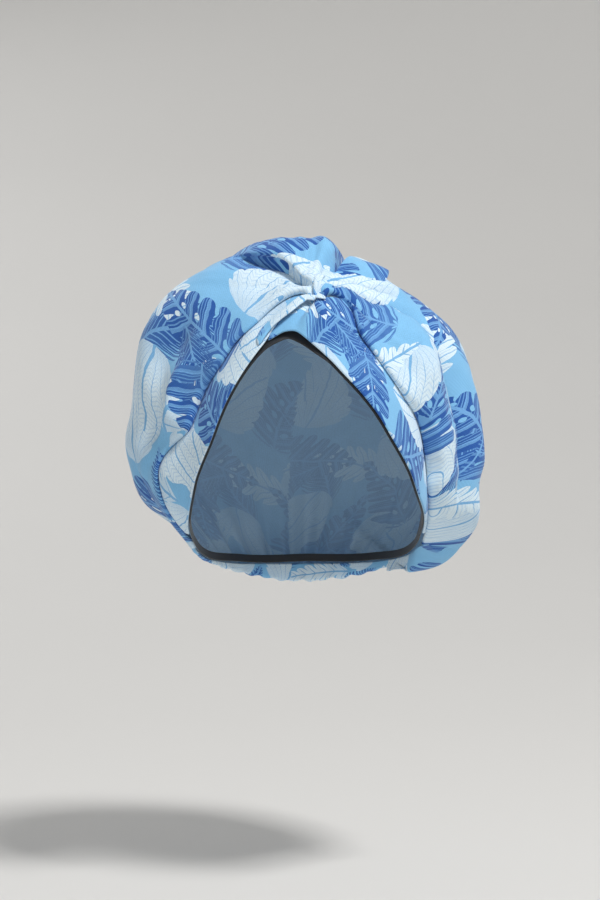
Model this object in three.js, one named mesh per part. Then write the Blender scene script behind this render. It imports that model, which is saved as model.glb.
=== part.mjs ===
// A twisted, ready tied turban headwrap, in the form it has when it is worn.
// Millimetres, +Z up. The origin is the top of its hollow, and the opening looks along -Y.
// Every sheet of cloth is a wall over the same egg, the hollow. A place on it is given by two angles
// about the twist at the front, seen from the middle of the egg: "turn" runs round the twist,
// 0 down the opening, 90 to +X, 180 over the crown to the nape, 270 to -X, and "tilt" runs away
// from it. Its height over the hollow is the "lift".
import * as THREE from 'three';

// The hollow that takes the head that wears it
const HOLLOW_WIDTH = 152;
const HOLLOW_LENGTH = 196;
const HOLLOW_DROP = 125; // from its top down to its widest level
const HOLLOW_FULLNESS = 2.3; // 2 is an ellipsoid, more is squarer

// The puffed crown
const CROWN_REACH = 120; // from the middle of the hollow to the left side
const CROWN_FRONT = 102;
const CROWN_BACK = 142;
const CROWN_FULLNESS = 2.2;
const POUCH_SAG = 0.6; // how far it hangs below the hem, as a share of how far it stands off

// The twist
const TWIST_AZIMUTH = 6; // degrees from the front towards +X
const TWIST_ELEVATION = 62.5;
const TWIST_LIFT = 19; // of the wraps where they meet at the twist
const TWIST_START = 3.6; // degrees from the twist at which the wraps begin
const TWIST_SPREAD = 14; // degrees over which they reach their own height
const TWIST_RISE = 7; // how far the bands under them rise towards it

// The cloth and how its layers lie
const CROWN_WALL = 1.8;
const BAND_WALL = 1.6;
const LAYER_GAP = 0.5; // between one band and the other
const CROWN_GAP = 1.2; // between the crown and what it lies on or what lies on it
const LEFT_EDGE_RADIUS = 6; // of the crown's rolled edge over the left band
const RIGHT_EDGE_RADIUS = 4;

// The rolled hem, the knot and the corner flap
const HEM_ROLL_WIDTH = 6.6;
const HEM_ROLL_THICKNESS = 3.4;
const KNOT_HEIGHT = 9; // from its seat to its top
const KNOT_SINK = 4; // its seat below the wraps' tops
const KNOT_PLEATS = 5;
const FLAP_THICKNESS = 3;

// The dark facing
const BINDING_WALL = 1;
const BINDING_LIFT = 0.5;
const BINDING_WIDTH = 14;
const BINDING_SHOW = 1.2; // how far it stands past the cloth's edge
const BAND_LIFT = BINDING_LIFT + BINDING_WALL + LAYER_GAP;
const BAND_TOP = BAND_LIFT + BAND_WALL;

// The crown's outline from the front: reach as a share of CROWN_REACH,
// at each angle about the middle of the hollow from +X over the top to -X and below
const OUTLINE = [
  { at: -40, reach: 0.82 }, { at: -27, reach: 0.94 }, { at: -14, reach: 0.975 },
  { at: 0, reach: 0.965 }, { at: 15, reach: 1.013 }, { at: 29, reach: 1.079 },
  { at: 43, reach: 1.155 }, { at: 60, reach: 1.195 }, { at: 75, reach: 1.233 },
  { at: 90, reach: 1.292 }, { at: 104, reach: 1.325 }, { at: 116, reach: 1.317 },
  { at: 126, reach: 1.3 }, { at: 135, reach: 1.242 }, { at: 147, reach: 1.125 },
  { at: 156, reach: 1.067 }, { at: 166, reach: 1.05 }, { at: 175, reach: 1.0 },
  { at: 186, reach: 0.942 }, { at: 195, reach: 0.846 }, { at: 203, reach: 0.8 },
  { at: 212, reach: 0.758 }, { at: 320, reach: 0.758 },
];

// The crown's left folded edge, from the twist to the hem. edge: how far the fold's top stands off
// the hollow, under: how far the band under it does, rise: how far from the edge the cloth reaches its
// full height, all as shares of CROWN_REACH
const LEFT_EDGE = [
  { tilt: 3.6, turn: 240, edge: 0.15, under: 0.03 }, { tilt: 6, turn: 250, edge: 0.125, under: 0.03 },
  { tilt: 9.5, turn: 262, edge: 0.1, under: 0.03 }, { tilt: 13.4, turn: 269, edge: 0.09, under: 0.03 },
  { tilt: 18.8, turn: 277, edge: 0.085, under: 0.03 }, { tilt: 25, turn: 278.5, edge: 0.083, under: 0.03 },
  { tilt: 33, turn: 281.5, edge: 0.083, under: 0.03 }, { tilt: 41, turn: 280.5, edge: 0.083, under: 0.03 },
  { tilt: 49, turn: 282, edge: 0.092, under: 0.035 }, { tilt: 57, turn: 285, edge: 0.11, under: 0.06 },
  { tilt: 66, turn: 280, edge: 0.15, under: 0.11 }, { tilt: 73, turn: 279, edge: 0.19, under: 0.16 },
  { tilt: 79, turn: 280, edge: 0.21, under: 0.18 }, { tilt: 88, turn: 282, edge: 0.18, under: 0.15 },
  { tilt: 100, turn: 280, edge: 0.12, under: 0.085 }, { tilt: 114, turn: 272, edge: 0.07, under: 0.035 },
  { tilt: 127, turn: 261, edge: 0.05, under: 0.03 },
].map((row) => ({ ...row, rise: 0.5 }));

// Its right folded edge
const RIGHT_EDGE = [
  { tilt: 3.6, turn: 112, edge: 0.15, rise: 0.5 }, { tilt: 7, turn: 97, edge: 0.09, rise: 0.5 },
  { tilt: 12.9, turn: 63, edge: 0.075, rise: 0.5 }, { tilt: 18.6, turn: 56, edge: 0.067, rise: 0.5 },
  { tilt: 26, turn: 55, edge: 0.067, rise: 0.5 }, { tilt: 32, turn: 57, edge: 0.067, rise: 0.5 },
  { tilt: 38.4, turn: 60, edge: 0.075, rise: 0.5 }, { tilt: 45, turn: 65, edge: 0.075, rise: 0.5 },
  { tilt: 53, turn: 67.5, edge: 0.083, rise: 0.48 }, { tilt: 61, turn: 66.5, edge: 0.092, rise: 0.46 },
  { tilt: 70, turn: 66.5, edge: 0.092, rise: 0.42 }, { tilt: 77, turn: 65, edge: 0.083, rise: 0.36 },
  { tilt: 87, turn: 67, edge: 0.075, rise: 0.28 }, { tilt: 100, turn: 73, edge: 0.067, rise: 0.2 },
  { tilt: 114, turn: 81.5, edge: 0.06, rise: 0.16 },
];

// The hem, where the crown comes in to the hollow at the sides and at the nape
const HEM = [
  { turn: 63, tilt: 90 }, { turn: 70, tilt: 98 }, { turn: 76, tilt: 107 }, { turn: 81.5, tilt: 114 },
  { turn: 97, tilt: 127 }, { turn: 128, tilt: 140 }, { turn: 170, tilt: 147 }, { turn: 216, tilt: 144.5 },
  { turn: 246, tilt: 136.5 }, { turn: 258, tilt: 129.5 }, { turn: 266, tilt: 122 }, { turn: 276, tilt: 110 },
];

// Folds pressed into or raised from the crown. height: share of CROWN_REACH, below 0 for a valley,
// wide: degrees of turn to either side, from and to: the tilts between which it lives
const FOLDS = [
  { name: 'right roll valley', height: -0.075, wide: 11, from: 12, to: 76,
    path: [[14, 140], [19, 134], [22, 120], [25, 100], [30, 91], [35, 86], [40, 82], [49, 77], [59, 72], [70, 68]] },
  { name: 'right roll crest', height: 0.035, wide: 14, from: 14, to: 66,
    path: [[14, 92], [25, 78], [35, 73], [45, 73], [55, 70], [66, 67]] },
  { name: 'crease under the upper roll', height: -0.07, wide: 7, from: 3, to: 30,
    path: [[3, 190], [7, 201], [11, 208], [15, 212], [22, 216], [30, 219]] },
  { name: 'upper roll', height: 0.045, wide: 22, from: 4, to: 36,
    path: [[4, 172], [10, 188], [20, 194], [36, 198]] },
  { name: 'crown lump', height: 0.1, wide: 15, from: 4, to: 52,
    path: [[5, 168], [14, 168], [24, 170], [44, 174]] },
  { name: 'drop beside the lump', height: -0.055, wide: 12, from: 8, to: 44,
    path: [[8, 146], [14, 148], [24, 151], [44, 153]] },
  { name: 'left dimple', height: -0.045, wide: 9, from: 36, to: 66,
    path: [[36, 262], [48, 262], [58, 265], [66, 268]] },
  { name: 'left ridge', height: 0.03, wide: 8, from: 42, to: 92,
    path: [[42, 274], [56, 274], [70, 270], [92, 268]] },
  { name: 'lower left fold', height: -0.04, wide: 8, from: 76, to: 122,
    path: [[76, 266], [90, 270], [108, 266], [122, 258]] },
  { name: 'right lower fold', height: -0.03, wide: 10, from: 78, to: 118,
    path: [[78, 88], [95, 92], [118, 100]] },
].map((fold) => ({ ...fold, path: fold.path.map(([tilt, turn]) => ({ tilt, turn })) }));

// Gathers that run out from the twist and in to the nape hem. near, peak and far are tilts
const GATHERS = [
  { name: 'right of the twist', height: 0.022, first: 92, last: 138, pleats: 4, near: 4, peak: 10, far: 28 },
  { name: 'left of the twist', height: 0.01, first: 214, last: 276, pleats: 4, near: 4, peak: 8, far: 26 },
  { name: 'nape', height: 0.02, first: 110, last: 250, pleats: 13, near: 100, peak: 140, far: 170 },
];

// The left band, a row for each station from the twist to the hem, in turn and tilt.
// edge: its side at the opening, inner: its side under the crown
const LEFT_BAND = [
  { edgeTurn: 262, edgeTilt: 4.4, innerTurn: 222, innerTilt: 5 },
  { edgeTurn: 275, edgeTilt: 7.4, innerTurn: 252, innerTilt: 12 },
  { edgeTurn: 289, edgeTilt: 11.5, innerTurn: 264, innerTilt: 17 },
  { edgeTurn: 302, edgeTilt: 20, innerTurn: 274, innerTilt: 25 },
  { edgeTurn: 301.7, edgeTilt: 31, innerTurn: 275, innerTilt: 36 },
  { edgeTurn: 302, edgeTilt: 42.5, innerTurn: 275, innerTilt: 46 },
  { edgeTurn: 302, edgeTilt: 54, innerTurn: 279, innerTilt: 56 },
  { edgeTurn: 299.5, edgeTilt: 63, innerTurn: 275, innerTilt: 66 },
  { edgeTurn: 296, edgeTilt: 73, innerTurn: 274, innerTilt: 74 },
  { edgeTurn: 293, edgeTilt: 85, innerTurn: 276, innerTilt: 86 },
  { edgeTurn: 287, edgeTilt: 98, innerTurn: 275, innerTilt: 99 },
  { edgeTurn: 277, edgeTilt: 111, innerTurn: 268, innerTilt: 113 },
];

// The right band, from where it goes under the left one to the hem
const RIGHT_BAND = [
  { edgeTurn: 299, edgeTilt: 17.5, innerTurn: 283, innerTilt: 12 },
  { edgeTurn: 309, edgeTilt: 12.8, innerTurn: 290, innerTilt: 6.5 },
  { edgeTurn: 330, edgeTilt: 11.7, innerTurn: 335, innerTilt: 4.2 },
  { edgeTurn: 362, edgeTilt: 16.2, innerTurn: 425, innerTilt: 4.2 },
  { edgeTurn: 379, edgeTilt: 25, innerTurn: 452, innerTilt: 11 },
  { edgeTurn: 391, edgeTilt: 36.6, innerTurn: 423, innerTilt: 29 },
  { edgeTurn: 398, edgeTilt: 49, innerTurn: 430, innerTilt: 43 },
  { edgeTurn: 406, edgeTilt: 63, innerTurn: 432, innerTilt: 58 },
  { edgeTurn: 411.5, edgeTilt: 75, innerTurn: 430, innerTilt: 72 },
  { edgeTurn: 419.5, edgeTilt: 86, innerTurn: 431, innerTilt: 84 },
  { edgeTurn: 427.5, edgeTilt: 96, innerTurn: 436, innerTilt: 95 },
  { edgeTurn: 436, edgeTilt: 107, innerTurn: 440, innerTilt: 106.5 },
];

// The rolled hem's middle line. full: its size there as a share of the whole
const HEM_ROLL = [
  { tilt: 5.2, turn: 266, full: 0.8 }, { tilt: 7.6, turn: 278, full: 1 }, { tilt: 10.5, turn: 286.5, full: 1 },
  { tilt: 14.8, turn: 295.5, full: 1 }, { tilt: 19, turn: 301, full: 0.85 }, { tilt: 22.5, turn: 302.5, full: 0.3 },
];

// The corner flap, a row across it at each step away from the twist
const FLAP = [
  { low: 124, lowTilt: 8, high: 154, highTilt: 9 }, { low: 117, lowTilt: 12, high: 151, highTilt: 14 },
  { low: 111, lowTilt: 16, high: 147, highTilt: 20 }, { low: 107, lowTilt: 19.5, high: 141, highTilt: 25 },
  { low: 107, lowTilt: 22, high: 135, highTilt: 28.5 },
];

// How finely each piece is faceted
const CROWN_COLUMNS = 64;
const CROWN_ROWS = 31;
const EDGE_COLUMNS = 3;
const POUCH_ROWS = 7;
const BAND_COLUMNS = 6;
const BAND_ROWS = 30;
const ROLL_SIDES = 10;
const ROLL_ROWS = 16;
const KNOT_SIDES = 30;
const KNOT_RINGS = 6;
const FLAP_COLUMNS = 10;
const FLAP_ROWS = 8;
const BINDING_ROWS = 64;

const radians = (degrees) => (degrees * Math.PI) / 180;
const mix = (a, b, t) => a + (b - a) * t;
const clamp = (x) => Math.min(1, Math.max(0, x));
const smooth = (x) => clamp(x) ** 2 * (3 - 2 * clamp(x));
const steps = (count) => Array.from({ length: count + 1 }, (_, n) => n / count);

// A smooth curve through one column of a table
function along(rows, key, column, at) {
  let i = 0;
  while (i < rows.length - 2 && at > rows[i + 1][key]) i += 1;
  const a = rows[Math.max(0, i - 1)];
  const b = rows[i];
  const c = rows[i + 1];
  const d = rows[Math.min(rows.length - 1, i + 2)];
  const span = c[key] - b[key];
  const t = clamp((at - b[key]) / span);
  const slope = (p, q) => (q[column] - p[column]) / (q[key] - p[key]);
  const m0 = slope(a, c) * span;
  const m1 = slope(b, d) * span;
  return b[column] * (2 * t ** 3 - 3 * t ** 2 + 1) + m0 * (t ** 3 - 2 * t ** 2 + t)
    + c[column] * (3 * t ** 2 - 2 * t ** 3) + m1 * (t ** 3 - t ** 2);
}

// The same through rows that are numbered in order, share from the first to the last
const numbered = (rows) => rows.map((row, order) => ({ ...row, order }));
const alongOrder = (rows, column, share) => along(rows, 'order', column, share * (rows.length - 1));

// Directions about the twist
const middle = new THREE.Vector3(0, 0, -HOLLOW_DROP);
const twist = new THREE.Vector3(
  Math.sin(radians(TWIST_AZIMUTH)) * Math.cos(radians(TWIST_ELEVATION)),
  -Math.cos(radians(TWIST_AZIMUTH)) * Math.cos(radians(TWIST_ELEVATION)),
  Math.sin(radians(TWIST_ELEVATION)),
);
const below = new THREE.Vector3(0, 0, -1).addScaledVector(twist, twist.z).normalize();
const beside = new THREE.Vector3().crossVectors(twist, below).normalize();

function ray(turn, tilt) {
  const [a, b] = [radians(turn), radians(tilt)];
  return new THREE.Vector3()
    .addScaledVector(twist, Math.cos(b))
    .addScaledVector(below, Math.sin(b) * Math.cos(a))
    .addScaledVector(beside, Math.sin(b) * Math.sin(a));
}

// The turn and tilt of a direction
function angles(d) {
  const turn = (Math.atan2(d.dot(beside), d.dot(below)) * 180) / Math.PI;
  return { turn, tilt: (Math.acos(d.dot(twist)) * 180) / Math.PI };
}

function hollowRadius(d) {
  const n = HOLLOW_FULLNESS;
  return (Math.abs((2 * d.x) / HOLLOW_WIDTH) ** n + Math.abs((2 * d.y) / HOLLOW_LENGTH) ** n
    + Math.abs(d.z / HOLLOW_DROP) ** n) ** (-1 / n);
}

function crownRadius(d) {
  let angle = (Math.atan2(d.z, d.x) * 180) / Math.PI;
  if (angle < OUTLINE[0].at) angle += 360;
  const reach = CROWN_REACH * along(OUTLINE, 'at', 'reach', angle);
  const depth = d.y < 0 ? CROWN_FRONT : CROWN_BACK;
  const n = CROWN_FULLNESS;
  return ((Math.hypot(d.x, d.z) / reach) ** n + (Math.abs(d.y) / depth) ** n) ** (-1 / n);
}

const lifted = (d, lift) => d.clone().multiplyScalar(hollowRadius(d) + lift).add(middle);
const place = (turn, tilt, lift) => lifted(ray(turn, tilt), lift);

// How many degrees of turn one millimetre is at a tilt
const turnPerMm = (tilt) => 180 / (Math.PI * CROWN_REACH * Math.sin(radians(Math.max(tilt, TWIST_START))));

const tiltPerMm = 180 / (Math.PI * CROWN_REACH);

// Lift of a band's outer face. It rises to the twist, and on the left to the crown's fold.
// The left band, layer 1, crosses over the right one, layer 0
function bandTop(turn, tilt, layer) {
  const toTwist = TWIST_RISE * smooth(1 - (tilt - TWIST_START) / TWIST_SPREAD);
  if (layer === 0) return BAND_TOP + toTwist;
  const left = turn < 0 ? turn + 360 : turn;
  const edge = along(LEFT_BAND, 'edgeTilt', 'edgeTurn', tilt);
  const fold = along(LEFT_EDGE, 'tilt', 'turn', tilt);
  const rise = Math.max(0, CROWN_REACH * along(LEFT_EDGE, 'tilt', 'under', tilt) - BAND_TOP);
  const crossing = (BAND_WALL + LAYER_GAP) * smooth((32 - tilt) / 12);
  return BAND_TOP + toTwist + crossing + rise * smooth((edge - left) / Math.max(4, edge - fold));
}

// The lowest that the crown's outer face may lie: over the bands, and at the hem over the facing
function crownFloor(turn, tilt) {
  const overBand = bandTop(turn, tilt, turn > 180 ? 1 : 0) + CROWN_GAP + CROWN_WALL;
  return mix(overBand, BAND_LIFT + CROWN_WALL, smooth((tilt - 114) / 8));
}

function crownFull(d) {
  return crownRadius(d) - hollowRadius(d);
}

// Pleats of a gather at a place on the crown
function gatherAt(turn, tilt) {
  let height = 0;
  for (const g of GATHERS) {
    const across = (turn - g.first) / (g.last - g.first);
    const rising = smooth((tilt - g.near) / (g.peak - g.near));
    const fading = smooth((g.far - tilt) / (g.far - g.peak));
    const ends = smooth(4 * across) * smooth(4 * (1 - across));
    height += g.height * rising * fading * ends * Math.sin(2 * Math.PI * g.pleats * across);
  }
  return height * CROWN_REACH;
}

// Folds at a place on the crown
function foldAt(turn, tilt) {
  let height = gatherAt(turn, tilt);
  for (const fold of FOLDS) {
    if (tilt > fold.from && tilt < fold.to) {
      const off = (turn - along(fold.path, 'tilt', 'turn', tilt)) / fold.wide;
      const length = fold.to - fold.from;
      const fade = smooth((tilt - fold.from) / (0.25 * length)) * smooth((fold.to - tilt) / (0.35 * length));
      height += fold.height * CROWN_REACH * fade * Math.exp(-1.6 * off * off);
    }
  }
  return height;
}

// Lift of the crown's outer face before its edges roll under and without its folds
function crownLift(turn, tilt) {
  const left = (along(LEFT_EDGE, 'tilt', 'turn', tilt) - turn) / turnPerMm(tilt);
  const right = (turn - along(RIGHT_EDGE, 'tilt', 'turn', tilt)) / turnPerMm(tilt);
  const leftEdge = CROWN_REACH * along(LEFT_EDGE, 'tilt', 'edge', tilt);
  const rightEdge = CROWN_REACH * along(RIGHT_EDGE, 'tilt', 'edge', tilt);
  const leftRise = CROWN_REACH * along(LEFT_EDGE, 'tilt', 'rise', tilt);
  const rightRise = CROWN_REACH * along(RIGHT_EDGE, 'tilt', 'rise', tilt);
  let lift = mix(leftEdge, crownFull(ray(turn, tilt)), smooth(left / leftRise));
  lift = mix(rightEdge, lift, smooth(right / rightRise));
  lift = mix(TWIST_LIFT, lift, smooth((tilt - TWIST_START) / TWIST_SPREAD));
  return lift;
}

// The folds die out where the crown's edges roll under
function crownFolds(turn, tilt) {
  const left = (along(LEFT_EDGE, 'tilt', 'turn', tilt) - turn) / turnPerMm(tilt);
  const right = (turn - along(RIGHT_EDGE, 'tilt', 'turn', tilt)) / turnPerMm(tilt);
  return foldAt(turn, tilt) * smooth(Math.min(left / LEFT_EDGE_RADIUS, right / RIGHT_EDGE_RADIUS) / 1.5);
}

// The hem's tilt at a share of the way from the right edge to the left one
function hemTilt(share) {
  let tilt = 120;
  for (let n = 0; n < 12; n += 1) {
    const turn = mix(along(RIGHT_EDGE, 'tilt', 'turn', tilt), along(LEFT_EDGE, 'tilt', 'turn', tilt), share);
    tilt = mix(tilt, along(HEM, 'turn', 'tilt', turn), 0.6);
  }
  return tilt;
}

// One point of the crown's outer face: share runs from the right edge to the left one, down from
// the twist to the hem, and bend rounds an edge under, 1 at its end
function crownPoint(share, hem, down, bend) {
  const pouchFrom = 1 - POUCH_ROWS / CROWN_ROWS;
  const round = Math.max(0, (down - pouchFrom) / (1 - pouchFrom)) * Math.PI;
  const hemTurn = mix(along(RIGHT_EDGE, 'tilt', 'turn', hem), along(LEFT_EDGE, 'tilt', 'turn', hem), share);
  const sag = POUCH_SAG * tiltPerMm * crownLift(hemTurn, hem) * smooth(14 * share) * smooth(6 * (1 - share));
  const tilt = mix(TWIST_START, hem, Math.min(1, down / pouchFrom)) + sag * Math.sin(round);
  const leftTurn = along(LEFT_EDGE, 'tilt', 'turn', tilt);
  const rightTurn = along(RIGHT_EDGE, 'tilt', 'turn', tilt);
  const span = leftTurn - rightTurn;
  const leftRadius = Math.min(LEFT_EDGE_RADIUS * turnPerMm(tilt), span / 9);
  const rightRadius = Math.min(RIGHT_EDGE_RADIUS * turnPerMm(tilt), span / 12);
  const a = (bend * Math.PI) / 2;
  const turn = share > 0.5
    ? mix(rightTurn + rightRadius, leftTurn - leftRadius, share) + leftRadius * Math.sin(a)
    : mix(rightTurn + rightRadius, leftTurn - leftRadius, share) - rightRadius * Math.sin(a);
  const floor = crownFloor(turn, tilt);
  const open = Math.max(floor, crownLift(turn, tilt) + crownFolds(turn, tilt));
  const lift = mix(floor, open, 0.5 + 0.5 * Math.cos(round));
  return place(turn, tilt, mix(lift, floor - CROWN_WALL, 1 - Math.cos(a)));
}

// A closed body through rings of points. Each ring goes across one face and back along the other.
// Its two ends are closed by strips, or it joins up into a loop
function body(rings, looped) {
  const n = rings[0].length;
  const index = [];
  const points = rings.flat();
  const quad = (a, b, c, d) => {
    const kept = points[a].distanceTo(points[c]) <= points[b].distanceTo(points[d]);
    index.push(...(kept ? [a, b, c, a, c, d] : [a, b, d, b, c, d]));
  };
  const last = looped ? rings.length : rings.length - 1;
  for (let j = 0; j < last; j += 1) {
    const next = (j + 1) % rings.length;
    for (let i = 0; i < n; i += 1) {
      const beyond = (i + 1) % n;
      quad(j * n + i, j * n + beyond, next * n + beyond, next * n + i);
    }
  }
  if (!looped) {
    const end = last * n;
    for (let i = 0; i < n / 2 - 1; i += 1) {
      quad(i, n - 1 - i, n - 2 - i, i + 1);
      quad(end + i, end + i + 1, end + n - 2 - i, end + n - 1 - i);
    }
  }
  let volume = 0;
  for (let k = 0; k < index.length; k += 3) {
    const [a, b, c] = [points[index[k]], points[index[k + 1]], points[index[k + 2]]];
    volume += a.dot(b.clone().cross(c));
  }
  if (volume < 0) index.reverse();
  const shape = new THREE.BufferGeometry();
  shape.setAttribute('position', new THREE.Float32BufferAttribute(points.flatMap((p) => [p.x, p.y, p.z]), 3));
  shape.setIndex(index);
  shape.computeVertexNormals();
  return shape;
}

// A wall of cloth under a grid of outer points, which runs from low to high turn and from the
// twist down
function wall(grid, thickness) {
  const [rows, columns] = [grid.length, grid[0].length];
  return body(grid.map((line, j) => {
    const inner = line.map((p, i) => {
      const across = line[Math.min(columns - 1, i + 1)].clone().sub(line[Math.max(0, i - 1)]);
      const down = grid[Math.min(rows - 1, j + 1)][i].clone().sub(grid[Math.max(0, j - 1)][i]);
      return p.clone().addScaledVector(down.cross(across).normalize(), -thickness);
    });
    return [...line, ...inner.reverse()];
  }), false);
}

function crownBag() {
  const bends = steps(EDGE_COLUMNS).slice(1);
  const columns = [
    ...bends.map((bend) => [0, bend]).reverse(),
    ...steps(CROWN_COLUMNS).map((share) => [share, 0]),
    ...bends.map((bend) => [1, bend]),
  ];
  const hems = columns.map(([share]) => hemTilt(share));
  return wall(steps(CROWN_ROWS).map((down) => (
    columns.map(([share, bend], i) => crownPoint(share, hems[i], down, bend)))), CROWN_WALL);
}

// The direction part way across a band, from its face edge to its inner side
function bandRay(rows, share, across) {
  const edge = ray(alongOrder(rows, 'edgeTurn', share), alongOrder(rows, 'edgeTilt', share));
  const inner = ray(alongOrder(rows, 'innerTurn', share), alongOrder(rows, 'innerTilt', share));
  return edge.lerp(inner, across).normalize();
}

function band(rows, layer, shares) {
  const ordered = numbered(rows);
  return wall(steps(BAND_ROWS).map((share) => shares.map((across) => {
    const d = bandRay(ordered, share, across);
    const { turn, tilt } = angles(d);
    return lifted(d, bandTop(turn, tilt, layer));
  })), BAND_WALL);
}

const leftBand = () => band(LEFT_BAND, 1, steps(BAND_COLUMNS).reverse());
const rightBand = () => band(RIGHT_BAND, 0, steps(BAND_COLUMNS));

function hemRoll() {
  const rows = numbered(HEM_ROLL);
  const centre = (share) => {
    const [turn, tilt] = [alongOrder(rows, 'turn', share), alongOrder(rows, 'tilt', share)];
    const half = (HEM_ROLL_THICKNESS / 2) * alongOrder(rows, 'full', share);
    return place(turn, tilt, bandTop(turn, tilt, 1) + LAYER_GAP + half);
  };
  return body(steps(ROLL_ROWS).map((share) => {
    const [p, full] = [centre(share), alongOrder(rows, 'full', share)];
    const ahead = centre(Math.min(1, share + 0.01)).sub(centre(Math.max(0, share - 0.01)));
    const out = p.clone().sub(middle).normalize();
    const side = ahead.cross(out).normalize();
    return steps(ROLL_SIDES).slice(1).map((s) => p.clone()
      .addScaledVector(side, (HEM_ROLL_WIDTH / 2) * full * Math.cos(2 * Math.PI * s))
      .addScaledVector(out, (HEM_ROLL_THICKNESS / 2) * full * Math.sin(2 * Math.PI * s)));
  }), false);
}

function knot() {
  const seat = hollowRadius(twist) + TWIST_LIFT - KNOT_SINK;
  const radius = (seat - CROWN_WALL) * Math.tan(radians(TWIST_START)) - LAYER_GAP;
  return body(steps(KNOT_RINGS).map((up) => {
    const a = up * 0.95 * (Math.PI / 2);
    const out = twist.clone().multiplyScalar(seat + KNOT_HEIGHT * Math.sin(a)).add(middle);
    return steps(KNOT_SIDES).slice(1).map((s) => {
      const pleat = 1 - 0.1 * (1 - Math.cos(2 * Math.PI * KNOT_PLEATS * s));
      return out.clone()
        .addScaledVector(beside, radius * pleat * Math.cos(a) * Math.cos(2 * Math.PI * s))
        .addScaledVector(below, radius * pleat * Math.cos(a) * Math.sin(2 * Math.PI * s));
    });
  }), false);
}

function cornerFlap() {
  const rows = numbered(FLAP);
  return wall(steps(FLAP_ROWS).map((share) => steps(FLAP_COLUMNS).map((across) => {
    const turn = mix(alongOrder(rows, 'low', share), alongOrder(rows, 'high', share), across);
    const tilt = mix(alongOrder(rows, 'lowTilt', share), alongOrder(rows, 'highTilt', share), across);
    const folds = [-4, 0, 4].map((near) => crownFolds(turn + near, tilt));
    const under = crownLift(turn, tilt) + Math.max(0, ...folds);
    return place(turn, tilt, under + CROWN_GAP + FLAP_THICKNESS);
  })), FLAP_THICKNESS);
}

// Round the opening: down the left band's edge, round the nape and up
// the right band's edge to the top
function edgeBinding() {
  const edge = (rows) => rows.map((row) => [row.edgeTurn, row.edgeTilt]);
  const hem = HEM.filter((row) => row.tilt > 116).map((row) => [row.turn, row.tilt]);
  const route = [...edge(LEFT_BAND.slice(3)), ...hem.reverse(), ...edge(RIGHT_BAND.slice(1)).reverse()];
  const curve = new THREE.CatmullRomCurve3(route.map(([turn, tilt]) => place(turn, tilt, BINDING_LIFT)), true);
  const points = curve.getSpacedPoints(BINDING_ROWS).slice(0, -1);
  return body(points.map((p, j) => {
    const ahead = points[(j + 1) % points.length].clone().sub(points.at(j - 1));
    const side = ahead.cross(p.clone().sub(middle)).normalize();
    const across = [-BINDING_SHOW, BINDING_WIDTH / 2, BINDING_WIDTH].map((reach) => (
      p.clone().addScaledVector(side, reach).sub(middle).normalize()));
    return [
      ...across.map((d) => lifted(d, BINDING_LIFT + BINDING_WALL)),
      ...across.reverse().map((d) => lifted(d, BINDING_LIFT)),
    ];
  }), true);
}

const turban = new THREE.Group();

function add(name, geometry, color, roughness) {
  const mesh = new THREE.Mesh(geometry, new THREE.MeshStandardMaterial({ color, roughness, metalness: 0 }));
  mesh.name = name;
  turban.add(mesh);
}

add('crown_bag', crownBag(), 0x7fb6e6, 0.85);
add('left_band', leftBand(), 0x6ba4dd, 0.85);
add('right_band', rightBand(), 0x6ba4dd, 0.85);
add('hem_roll', hemRoll(), 0xd6e6ee, 0.85);
add('knot', knot(), 0x4f86cc, 0.85);
add('corner_flap', cornerFlap(), 0xd6e6ee, 0.85);
add('edge_binding', edgeBinding(), 0x15191f, 0.6);

export default turban;
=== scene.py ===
"""A ready tied turban headwrap of printed cotton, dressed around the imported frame."""

import bpy
import numpy as np
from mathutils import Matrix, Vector, noise


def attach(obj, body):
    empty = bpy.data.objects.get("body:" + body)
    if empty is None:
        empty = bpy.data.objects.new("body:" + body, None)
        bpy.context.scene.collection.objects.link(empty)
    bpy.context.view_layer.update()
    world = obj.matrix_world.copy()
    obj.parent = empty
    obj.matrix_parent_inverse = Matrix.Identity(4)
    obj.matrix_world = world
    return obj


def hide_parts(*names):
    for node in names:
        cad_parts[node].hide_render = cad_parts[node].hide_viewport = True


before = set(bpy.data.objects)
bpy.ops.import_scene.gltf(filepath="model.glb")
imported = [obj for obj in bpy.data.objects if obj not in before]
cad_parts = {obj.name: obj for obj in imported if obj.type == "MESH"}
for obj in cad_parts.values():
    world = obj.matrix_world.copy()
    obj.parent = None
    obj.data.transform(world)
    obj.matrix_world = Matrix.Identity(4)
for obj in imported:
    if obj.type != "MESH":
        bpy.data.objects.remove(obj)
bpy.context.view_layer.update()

bl_info = {
    "name": "Twisted turban headwrap",
    "version": (1, 0, 0),
    "blender": (4, 5, 0),
    "location": "3D View > Sidebar > Turban",
    "description": "Builds a gathered and twisted headwrap of printed cotton, piece by piece",
    "category": "Add Mesh",
}

MM = 0.001

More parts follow.
